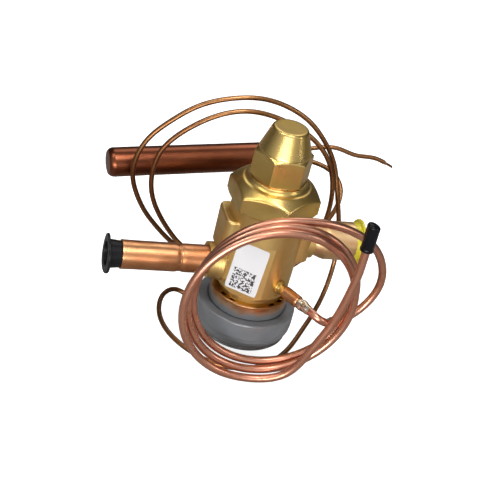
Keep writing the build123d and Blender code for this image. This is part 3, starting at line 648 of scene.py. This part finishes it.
def bonnetProfile(across, bottom, sideTop, top, rim, flare, flareLevel, thread, threadBottom, neck,
                  neckTop, bore, roof, chamber, packing, packingBottom, gland, glandBottom, **others):
    corner = hexCorner(across)
    low = roundOff([
        (thread, threadBottom), (thread, bottom), (corner - 1.6, bottom),
        (corner + 1, bottom + 1.5), (corner + 1, sideTop), (flare + 1, flareLevel - 0.67)], 0.6)
    cone = arcThrough((flare, flareLevel), (rim + 0.9, flareLevel + 1.2), (rim, top), 16)
    high = roundOff([
        (rim, top), (neck, top), (neck, neckTop - 0.8), (neck - 0.8, neckTop),
        (gland, neckTop), (gland, glandBottom), (packing, glandBottom), (packing, packingBottom),
        (bore, packingBottom), (bore, roof), (chamber, roof), (chamber, threadBottom)], 0.3)
    return fillIn(np.concatenate([low, cone, high[1:]]), 1)


turnedPiece("bonnetHexagon", bonnetProfile(**bonnet), upright, "valve", ["bonnet_nut"], 432, "turnedBrass",
            True, hexShape(bonnet["across"], bonnet["turn"], bonnet["bottom"], bonnet["top"], 0.7))

cap = {"across": 32, "turn": -2, "base": 63.4, "hexTop": 80.8, "side": 15.9, "shoulder": 81.4,
       "top": 96.3, "topRadius": 9.6, "cone": 11.3, "topRound": 1.6, "thread": 11.86,
       "threadTop": 75.9, "bore": 8.2, "roof": 87.3}


def capProfile(across, base, hexTop, side, shoulder, top, topRadius, cone, topRound, thread, threadTop,
               bore, roof, **others):
    corner = hexCorner(across)
    hexagon = roundOff([
        (thread, base), (corner - 1.2, base), (corner + 0.3, base + 1.2), (corner + 0.3, hexTop - 1.7),
        (side, hexTop), (side, shoulder)], 0.5)
    crown = arcThrough((cone, top - topRound), (cone - 0.6, top - 0.35 * topRound), (topRadius, top), 10)
    inside = roundOff([
        (0, roof), (bore, roof), (bore, threadTop), (thread, threadTop), (thread, base)], 0.3)
    return np.concatenate([fillIn(np.concatenate([hexagon, crown, [(0, top)]]), 0.9), fillIn(inside, 2)])


turnedPiece("sealCapHexagon", capProfile(**cap), upright, "cap", ["seal_cap"], 384, "turnedBrass",
            True, hexShape(cap["across"], cap["turn"], cap["base"] + 0.01, cap["hexTop"], 0.5))
print("bonnet and cap made")

# Power element: casings, collar and their paint

element = {"top": -27.2, "radius": 31.5, "wall": 1.8, "hole": 14, "lineHole": 1.65, "sideBottom": -38,
           "step": 0.4, "seam": -45.8, "seamRadius": 29.2, "lip": 2.6, "seamWidth": 1.2, "diaphragm": 0.5,
           "panBottom": -52.3, "panFlat": 15}


def upperCasingProfile(top, radius, wall, hole, sideBottom, step, seam, seamRadius, lip, seamWidth,
                       diaphragm, **others):
    inner, foot, lipRadius = radius - wall, radius - 2 * step, seamRadius - lip
    outside = roundOff([
        (hole, top), (radius - 0.2, top), (radius, top - 2.4), (radius, sideBottom),
        (radius - step, sideBottom - 0.6), (radius - step, sideBottom - 2.9), (foot, sideBottom - 3.6)], 2.2)
    curve = arcThrough((foot, sideBottom - 3.6), (radius - 1.5, sideBottom - 5.4),
                       (seamRadius, seam + seamWidth), 10)
    inside = roundOff([
        (seamRadius, seam + seamWidth), (seamRadius, seam + diaphragm), (lipRadius, seam + diaphragm),
        (lipRadius, seam + seamWidth + wall), (inner - 1.2, sideBottom - 3), (inner, sideBottom),
        (inner, top - wall - 0.8), (inner - 0.8, top - wall), (hole, top - wall)], 0.3)
    return np.concatenate([outside, curve[1:], inside[1:]])


def lowerCasingProfile(wall, lineHole, seam, seamRadius, lip, seamWidth, panBottom, panFlat, **others):
    lipRadius = seamRadius - lip
    outside = arcThrough((seamRadius, seam - seamWidth), (seamRadius - 4.4, panBottom + 1.5),
                         (panFlat, panBottom), 20)
    hole = [(lineHole, panBottom), (lineHole, panBottom + wall)]
    inside = arcThrough((panFlat, panBottom + wall), (lipRadius - 3.3, panBottom + 3.2),
                        (lipRadius, seam), 12)
    return np.concatenate([[(seamRadius, seam)], outside, hole, inside])


# the groove and seam bands set where painted shade darkens the enamel; dark is the shade's colour and the
# share how strongly it is mixed in
casingLook = {"grey": (0.15, 0.16, 0.17), "greyDeep": (0.125, 0.134, 0.144), "dark": (0.012, 0.012, 0.013),
              "paintedShadeShare": 0.85, "grooveShade": (0.0252, 0.0264), "seam": (0.0003, 0.0011), "rough": (0.28, 0.34)}


def casingPaint(s):
    # grey enamel with painted shade: darker in the groove at the collar's foot and along the seam, where
    # shade falls in the creases
    p = Paint("casingPaint")
    middle = p.node("VectorMath", {"operation": "SUBTRACT"}, {0: p.coords(), 1: (stemX / perMetre, 0, 0)})
    level = p.node("VectorMath", {"operation": "MULTIPLY"}, {0: middle, 1: (1, 1, 0)})
    reach = p.node("VectorMath", {"operation": "LENGTH"}, {0: level}, out="Value")
    height = p.node("SeparateXYZ", None, {0: middle}, out="Z")
    # painted shade: a dark ring in the crease at the collar's foot and a dark line along the seam
    grooveShade = p.level(reach, 1, 0, *s["grooveShade"])
    seam = p.level((height - element["seam"] / perMetre).size(), 1, 0, *s["seam"])
    cloud = p.noise(70, 4, 0.6)
    grey = p.mix(p.level(cloud, 0, 1, 0.3, 0.7), s["grey"], s["greyDeep"])
    shade = grooveShade.maths("MAXIMUM", seam) * s["paintedShadeShare"]
    return p.finish(colour=p.mix(shade, grey, s["dark"]), rough=p.level(cloud, *s["rough"], 0.3, 0.7),
                    metal=0, coat=0.6, coatRough=0.06)


materials["casingPaint"] = casingPaint(casingLook)
for name, profile, node in (("upperCup", upperCasingProfile(**element), "element_upper_casing"),
                            ("lowerPan", lowerCasingProfile(**element), "element_lower_casing")):
    turnedPiece(name, profile, upright, "valve", [node], 200, "casingPaint")

collar = {"bottom": -27.2, "top": -17.5, "radius": 25, "recess": 23.4, "recessDepth": 4, "thread": 20.06}


def collarProfile(bottom, top, radius, recess, recessDepth, thread):
    floor = top - recessDepth
    return fillIn(roundOff([
        (thread, bottom), (radius, bottom), (radius, top - 0.5), (radius - 0.5, top), (recess, top),
        (recess, floor), (thread, floor)], 0.35, closed=True), 1)


collarLook = {"grey": (0.14, 0.145, 0.15), "greyDeep": (0.1, 0.105, 0.11), "bare": (0.55, 0.3, 0.14),
              "bareDeep": (0.36, 0.17, 0.07), "edge": (-0.0245, -0.0195), "rough": (0.32, 0.3)}


def collarPaint(s):
    # grey paint below, worn to a coppery edge at the top where the ring was fitted
    p = Paint("collarPaint")
    height = p.node("SeparateXYZ", None, {0: p.coords()}, out="Z")
    ragged = p.noise(140, 4, 0.6)
    edge = p.level(height + p.level(ragged, -0.002, 0.002, 0.25, 0.75), 0, 1, *s["edge"])
    cloud = p.noise(70, 4, 0.6)
    grey = p.mix(cloud, s["grey"], s["greyDeep"])
    bare = p.mix(p.level(cloud, 0, 1, 0.35, 0.65), s["bare"], s["bareDeep"])
    return p.finish(colour=p.mix(edge, grey, bare), rough=p.level(edge, *s["rough"]),
                    metal=p.level(edge, 0, 1), normal=p.bump(ragged, 0.00008, 0.3))


materials["collarPaint"] = collarPaint(collarLook)
turnedPiece("elementCollar", collarProfile(**collar), upright, "valve", ["element_collar"], 200,
            "collarPaint")
print("element made")

# Ports and their transport plugs

inlet = {"tube": 8.95, "socket": 8, "mouth": 86, "bell": 9, "flare": 0.35, "start": 24,
         "stop": 52, "crimp": 5, "crimpOut": 0.45, "crimpIn": 0.9}


def inletProfile(tube, socket, mouth, bell, flare, start, stop, crimp, crimpOut, crimpIn):
    half = crimp / 2
    middle = stop - half
    low, high, bellStart = middle - half, middle + half, mouth - bell
    return fillIn(roundOff([
        (socket, start), (tube, start), (tube, low), (tube - crimpOut, middle - 0.6),
        (tube - crimpOut, middle + 0.6), (tube, high), (tube, bellStart),
        (tube + flare / 2, mouth), (socket + flare, mouth), (socket, bellStart), (socket, high),
        (socket - crimpIn, middle + 0.6), (socket - crimpIn, middle - 0.6), (socket, low)],
        0.7, closed=True), 1.5)


def inletShape(radius, height, turn):
    # the tool that made the crimp left shallow dents, and handling left a few more
    crimp = inlet["stop"] - inlet["crimp"] / 2
    near = np.exp(-((height - crimp) / 2.4) ** 2)
    dents = 0.16 * near * (0.5 + 0.5 * np.cos(5 * turn + 0.6))
    waves = 0.05 * np.sin(height * 0.21 + 2) * np.cos(2 * turn)
    dimple = 0.35 * np.exp(-((height - 58) / 2.2) ** 2 - ((turn - 4.2) / 0.3) ** 2)
    outer = radius > inlet["socket"] + 0.5
    return radius - np.where(outer, dents + np.abs(waves) + dimple, 0), height


towardInlet = axisFrame((0, 0, 0), (-1, 0, 0), (0, 0, 1))
towardOutlet = axisFrame((0, 0, 20), (1, 0, 0), (0, 0, 1))
turnedPiece("inletPipe", inletProfile(**inlet), towardInlet, "valve", ["inlet_tube"], 160, "inletCopper",
            True, inletShape)

reducer = {"neck": 9.5, "wall": 1, "socket": 11.2, "start": 23, "coneStart": 32, "coneEnd": 39.5,
           "bellStart": 51, "mouth": 58, "flare": 0.35}


def reducerProfile(neck, wall, socket, start, coneStart, coneEnd, bellStart, mouth, flare):
    outside, bore = socket + wall, neck - wall
    return fillIn(roundOff([
        (bore, start), (neck, start), (neck, coneStart), (outside, coneEnd), (outside, bellStart),
        (outside + flare / 2, mouth), (socket + flare, mouth), (socket, bellStart), (socket, coneEnd),
        (bore, coneStart)], 1.4, closed=True), 1.2)


turnedPiece("outletReducer", reducerProfile(**reducer), towardOutlet, "valve", ["outlet_tube"], 160,
            "outletCopper")

inletPlug = {"inside": 9, "flange": 12.3, "stretch": 7.4, "lift": 0.35}
outletPlug = {"inside": 7, "flange": 14.5, "stretch": 3.6, "lift": 0.4}


def plugProfile(pipe, plug, taper=0.7, wall=1.3, thick=1.6, gap=0.1):
    # tapered shank in the belled mouth, thin flange outside, hollow from the outer face
    mouth, flange = pipe["mouth"], plug["flange"]
    shank = pipe["socket"] + pipe["flare"] - gap
    tipRadius = shank - pipe["flare"] - taper
    tip, outer = mouth - plug["inside"], mouth + plug["stretch"]
    return fillIn(roundOff([
        (0, tip), (tipRadius, tip), (tipRadius + taper / 2, tip + 1), (shank, mouth),
        (shank + taper, outer), (flange, outer), (flange, outer + thick),
        (shank + taper - wall, outer + thick), (tipRadius - wall, tip + wall), (0, tip + wall)], 0.45), 1.2)


def flangeShape(plug):
    # the thin flange of a soft plug isn't quite flat
    def shape(radius, height, turn):
        share = np.clip((radius - plug["flange"] * 0.72) / (plug["flange"] * 0.28), 0, 1)
        return radius, height + plug["lift"] * share * np.cos(2 * turn + 0.8)
    return shape


turnedPiece("inletStopper", plugProfile(inlet, inletPlug), towardInlet, "inlet_stopper", ["inlet_plug"], 120,
            "blackPlastic", False, flangeShape(inletPlug))
turnedPiece("outletStopper", plugProfile(reducer, outletPlug), towardOutlet, "outlet_stopper",
            ["outlet_plug"], 120, "yellowPlastic", False, flangeShape(outletPlug))
print("ports made")

# Equalizer stub: ferrule, sleeve and solder

stub = {"foot": 22.8, "bore": 1.6, "ring": 4.6, "ringHeight": 2.2, "ferrule": 3.3, "ferruleEnd": 31,
        "sleeve": 3.9, "sleeveStart": 28, "sleeveEnd": 41, "brazeEnd": 50.5, "line": 2.55, "gap": 0.05}


def ferruleProfile(foot, bore, ring, ringHeight, ferrule, ferruleEnd, **others):
    return roundOff([(bore, foot), (ring, foot), (ring, foot + 1.6), (ferrule, foot + ringHeight),
                     (ferrule, ferruleEnd), (bore, ferruleEnd)], 0.35, closed=True)


def sleeveProfile(ferrule, ferruleEnd, sleeve, sleeveStart, sleeveEnd, line, gap, **others):
    bore, shoulder = ferrule + gap, ferruleEnd + 1
    return roundOff([
        (bore, sleeveStart), (sleeve - 0.3, sleeveStart), (sleeve, sleeveStart + 1.2),
        (sleeve, sleeveEnd - 1), (sleeve - 0.5, sleeveEnd), (line, sleeveEnd), (line, shoulder),
        (bore, shoulder)], 0.3, closed=True)


def brazeProfile(sleeve, sleeveEnd, brazeEnd, line, **others):
    return fillIn(roundOff([
        (line, sleeveEnd), (sleeve - 0.5, sleeveEnd), (sleeve - 0.3, sleeveEnd + 2.5),
        (line + 0.5, brazeEnd - 2), (line + 0.1, brazeEnd), (line, brazeEnd)], 0.5, closed=True), 0.4)


def brazeShape(radius, height, turn):
    # the solder has run unevenly
    lumps = 0.12 * np.sin(3 * turn + height * 0.7) + 0.1 * np.cos(2 * turn - height * 1.1)
    return np.where(radius > stub["line"] + 0.3, radius + lumps, radius), height


turnedPiece("stubFerrule", ferruleProfile(**stub), stubFrame, "valve", ["equalizer_ferrule"], 96,
            "turnedBrass")
turnedPiece("stubSleeve", sleeveProfile(**stub), stubFrame, "valve", ["equalizer_stub"], 96, "inletCopper")
turnedPiece("stubBraze", brazeProfile(**stub), stubFrame, "valve", ["equalizer_braze"], 96, "silverBraze",
            True, brazeShape)

# Rubber cap on the line's end: a tight skirt and a slanted, rounded top

rubber = {"low": 56, "high": 75, "radius": 4, "bore": 2.55, "roof": 63.05, "crown": 3, "slant": 0.34}


def rubberProfile(low, high, radius, bore, roof, crown, **others):
    shoulder = high - crown
    skirt = roundOff([(bore, low), (radius + 0.15, low), (radius + 0.15, low + 1.4),
                      (radius - 0.05, low + 2), (radius, shoulder)], 0.35)
    lean = np.linspace(0, math.pi / 2, 14)
    dome = np.stack([radius * np.cos(lean) ** 0.7, shoulder + 2 * np.sin(lean)], -1)
    dome[-1, 0] = 0
    return np.concatenate([fillIn(np.concatenate([skirt, dome[1:]]), 0.8), [(0, roof), (bore, roof)]])


def rubberShape(radius, height, turn):
    # the top slopes down towards +X
    share = np.clip((height - rubber["high"] + 8) / 8, 0, 1) ** 2
    return radius, height - share * rubber["slant"] * (radius * np.cos(turn) + 1.2)


legFrame = axisFrame((*equalizer["top"][:2], 0), (0, 0, 1), (1, 0, 0))
turnedPiece("rubberCap", rubberProfile(**rubber), legFrame, "line_stopper", ["equalizer_cap"], 64,
            "blackRubber", True, rubberShape)
print("stub and rubber cap made")

# Body and lock ring keep the CAD solid's form, with their edges broken by a bevel


def mergedCopy(node, name):
    # a copy of a CAD mesh with its faces joined at their edges, open for changes
    mesh = nodes[node].data.copy()
    mesh.name = name
    work = bmesh.new()
    work.from_mesh(mesh)
    bmesh.ops.remove_doubles(work, verts=work.verts, dist=2e-6)
    return mesh, work


def brokenEdges(node, name, width, material):
    # flat faces become one again and sharp edges are rounded
    mesh, work = mergedCopy(node, name)
    bmesh.ops.dissolve_limit(work, angle_limit=math.radians(0.6), verts=work.verts, edges=work.edges)
    for face in work.faces:
        face.smooth = True
    piece = putBack(work, mesh)
    bevel = piece.modifiers.new("edges", "BEVEL")
    bevel.width = width
    bevel.segments = 3
    bevel.limit_method = "ANGLE"
    bevel.angle_limit = math.radians(28)
    bevel.use_clamp_overlap = True
    bevel.harden_normals = False
    keepFlats(piece)
    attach(piece, "valve")
    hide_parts(node)
    dress(piece, material)


brokenEdges("valve_body", "forgedBody", 0.0005, "forgedBrass")
brokenEdges("lock_ring", "slottedRing", 0.00025, "goldRing")
print("body made")

# Label: a thin rounded sheet on the front left flat

label = {"side": 240, "distance": 19.8, "level": 5.5, "shift": -0.8, "width": 20.5, "height": 35,
         "thick": 0.15, "tilt": -4, "squareness": 22,
         "cells": 19, "patch": 14.6, "patchAt": (-0.5, -8.6)}
labelOut = sideWay(label["side"])
labelAcross = np.cross((0, 0, 1), labelOut)
labelUp = np.array([0, 0, 1])
labelTilt = math.radians(label["tilt"])
labelCentre = labelOut * label["distance"] + labelAcross * label["shift"] + labelUp * label["level"]


def labelGrid(s):
    # a rounded rectangle raised by the label's thickness
    turn = turnsRound(96)
    power = s["squareness"]
    reach = (np.abs(np.cos(turn)) ** power + np.abs(np.sin(turn)) ** power) ** (-1 / power)
    rings = np.array([0, 0.5, 0.9, 0.985, 1, 1])
    lifts = np.array([1, 1, 1, 0.96, 0.7, 0]) * s["thick"]
    u = rings[:, None] * (reach * np.cos(turn))[None] * s["width"] / 2
    v = rings[:, None] * (reach * np.sin(turn))[None] * s["height"] / 2
    sideways = u * math.cos(labelTilt) - v * math.sin(labelTilt)
    upwards = u * math.sin(labelTilt) + v * math.cos(labelTilt)
    return (labelCentre + sideways[..., None] * labelAcross + upwards[..., None] * labelUp
            + lifts[:, None, None] * labelOut)


def labelPaint(s):
    # white film with a patch of small dark and light squares, laid at random, and soft grey smudges
    p = Paint("labelPaint")
    place = p.node("TexCoord", out="Object")
    across = math.cos(labelTilt) * labelAcross + math.sin(labelTilt) * labelUp
    up = -math.sin(labelTilt) * labelAcross + math.cos(labelTilt) * labelUp

    def measure(way, offset):
        # place on the patch, from -0.5 to 0.5
        fromCentre = p.dot(place, way) - float(np.dot(toFrame(labelCentre), way))
        return (fromCentre - offset / perMetre) * (perMetre / s["patch"])
    u = measure(across, s["patchAt"][0])
    v = measure(up, s["patchAt"][1])
    inside = (0.5 - u.size()).over(0) * (0.5 - v.size()).over(0)
    column, row = ((value * s["cells"]).maths("FLOOR", 0) + 0.5 for value in (u, v))
    cell = p.node("CombineXYZ", None, {0: column, 1: row})
    dark = p.node("TexWhiteNoise", {"noise_dimensions": "3D"}, {"Vector": cell}).over(0.5)
    ink = p.noise(2500, 3, 0.6)
    film = p.mix(p.level(ink, 0, 0.4, 0.4, 0.7), (0.68, 0.68, 0.69), (0.62, 0.62, 0.64))
    printed = p.mix(p.level(ink, 0.2, 0.9, 0.35, 0.6), (0.09, 0.09, 0.1), (0.02, 0.02, 0.022))
    return p.finish(colour=p.mix(inside * dark, film, printed), rough=p.level(ink, 0.3, 0.42), metal=0,
                    normal=p.bump(ink, 0.00003, 0.2))


materials["labelPaint"] = labelPaint(label)
finishMesh(gridMesh("labelSheet", labelGrid(label)), "valve", ["label"], "labelPaint", False)

# The remaining nodes keep their CAD form and get their finish

plainNodes = {
    "turnedBrass": ["gland_nut", "orifice_seat", "cone_holder", "spring_seat", "capillary_ferrule"],
    "turnedSteel": ["adjusting_spindle", "valve_cone", "push_rod", "diaphragm", "diaphragm_plate"],
    "inletCopper": ["cap_gasket", "bonnet_gasket"],
    "bulbCopper": ["bulb_end_plug"],
    "packing": ["spindle_packing", "push_rod_seal", "element_gasket"],
}
for material, group in plainNodes.items():
    for node in group:
        coatWith(nodes[node], material)
print("plain nodes dressed")

# Spring: cut into a lower and an upper half, which meet at the middle

springLow, springHigh = ([float(v) for v in corner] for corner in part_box("superheat_spring"))
springMiddle = (springLow[2] + springHigh[2]) / 2


def springHalf(name, upper):
    mesh, work = mergedCopy("superheat_spring", name)
    cut = bmesh.ops.bisect_plane(
        work, geom=work.verts[:] + work.edges[:] + work.faces[:], plane_co=(0, 0, springMiddle),
        plane_no=(0, 0, 1), clear_outer=not upper, clear_inner=upper)
    rim = [edge for edge in cut["geom_cut"] if isinstance(edge, bmesh.types.BMEdge)]
    bmesh.ops.holes_fill(work, edges=rim)
    bmesh.ops.recalc_face_normals(work, faces=work.faces)
    piece = putBack(work, mesh)
    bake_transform(piece)
    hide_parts("superheat_spring")
    dress(piece, "turnedSteel")


springHalf("springFoot", False)
springHalf("springHead", True)
print("spring made")

# Camera, lamps, floor and room

studio = {"azimuth": -20, "elevation": 32, "roll": 14.5, "distance": 0.75, "focus": 1200,
          "centrePixel": (256, 262), "imageSize": 500, "sensor": 36,
          "floor": (0.85, 0.85, 0.85), "floorGlow": 0.68, "floorHalf": 3, "table": (0.3, 0.28, 0.26),
          "sky": (0.9, 0.92, 0.95), "skyStrength": 0.42, "brightWay": (-0.32, -0.89, 0.32),
          "room": [(0, (0.05, 0.045, 0.04)), (0.45, (0.1, 0.095, 0.09)), (0.7, (0.3, 0.3, 0.3)),
                   (0.95, (0.7, 0.7, 0.7))]}
lampAim = (0.077, 0, 0.01)
lamps = {  # place, width and height, power
    "keyLamp": ((0.095, -0.42, 1.06), (0.11, 0.6), 4.5),
    "leftStrip": ((-0.49, -0.085, 1.06), (0.1, 0.6), 3),
    "topLamp": ((0.3, 0.7, 0.9), (0.9, 0.5), 3),
    "sideLamp": ((0.85, -0.5, 0.45), (0.1, 0.5), 1.2),
    "frontLamp": ((-0.23, -0.88, 0.1), (0.75, 0.2), 6),
}
white = (1, 1, 1)


def makeCamera(s):
    a, e, r = (math.radians(s[key]) for key in ("azimuth", "elevation", "roll"))
    back = np.array([math.sin(a) * math.cos(e), -math.cos(a) * math.cos(e), math.sin(e)])
    right = sideWay(s["azimuth"])
    up = np.cross(back, right)
    rightRolled = math.cos(r) * right + math.sin(r) * up
    upRolled = -math.sin(r) * right + math.cos(r) * up
    offset = (np.array(s["centrePixel"]) - s["imageSize"] / 2) / s["focus"] * s["distance"]
    place = toFrame((0, 0, 0)) + back * s["distance"] - rightRolled * offset[0] + upRolled * offset[1]
    data = bpy.data.cameras.new("camera")
    data.sensor_width = s["sensor"]
    data.sensor_fit = "HORIZONTAL"
    data.lens = s["focus"] / s["imageSize"] * s["sensor"]
    data.clip_start = 0.01
    camera = inScene("camera", data)
    rows = np.column_stack([rightRolled, upRolled, back, place]).tolist()
    camera.matrix_world = Matrix(rows + [[0, 0, 0, 1]])
    bpy.context.scene.camera = camera


def addLamp(name, place, size, power):
    data = bpy.data.lights.new(name, "AREA")
    data.shape = "RECTANGLE"
    data.size, data.size_y = size
    data.energy = power
    lamp = inScene(name, data)
    lamp.rotation_mode = "QUATERNION"
    lamp.rotation_quaternion = (Vector(lampAim) - Vector(place)).to_track_quat("-Z", "Y")
    lamp.location = place


def showTo(shading, output, lit, plain, gloss):
    # the camera sees the plain shader, reflections see the gloss one, and all else the lit one
    rays = {key: shading.node("LightPath", out=key) for key in ("Is Glossy Ray", "Is Camera Ray")}
    indirect = shading.node("MixShader", None, {0: rays["Is Glossy Ray"], 1: lit, 2: gloss})
    seen = shading.node("MixShader", None, {0: rays["Is Camera Ray"], 1: indirect, 2: plain})
    shading.node(output, None, {"Surface": seen})


def emptied(owner):
    # the shader tree of a material or world, without the nodes it starts with
    owner.use_nodes = True
    owner.node_tree.nodes.clear()
    return Shading(owner.node_tree)


def makeFloor(s):
    # pale floor: the camera sees it white but for the shadow, reflections see a darker table
    level, half = cadBox[0][2] - 0.0005, s["floorHalf"]
    corners = [(x * half, y * half, level) for x, y in ((-1, -1), (1, -1), (1, 1), (-1, 1))]
    mesh = bpy.data.meshes.new("floor")
    mesh.from_pydata(corners, [], [(0, 1, 2, 3)])
    floor = inScene("floor", mesh)
    material = bpy.data.materials.new("floorPaint")
    shading = emptied(material)
    pale = shading.node("BsdfDiffuse", None, {"Color": s["floor"]})
    glow = shading.node("Emission", None, {"Color": white, "Strength": s["floorGlow"]})
    bright = shading.node("AddShader", None, {0: pale, 1: glow})
    table = shading.node("BsdfDiffuse", None, {"Color": s["table"]})
    showTo(shading, "OutputMaterial", pale, bright, table)
    mesh.materials.append(material)


def makeRoom(s):
    # white to the camera; reflections see a room that is bright in front of the valve and dark behind it
    world = bpy.data.worlds.new("studio")
    bpy.context.scene.world = world
    shading = emptied(world)
    facing = shading.dot(shading.node("TexCoord", out="Generated"), s["brightWay"])
    walls = shading.ramp(shading.level(facing, 0, 1, -1), s["room"])
    lit = shading.node("Background", None, {"Color": s["sky"], "Strength": s["skyStrength"]})
    plain = shading.node("Background", None, {"Color": white})
    room = shading.node("Background", None, {"Color": walls})
    showTo(shading, "OutputWorld", lit, plain, room)


makeCamera(studio)
for name, (place, size, power) in lamps.items():
    addLamp(name, place, size, power)
makeFloor(studio)
makeRoom(studio)
bpy.context.scene.view_settings.view_transform = "Standard"
print("studio made")
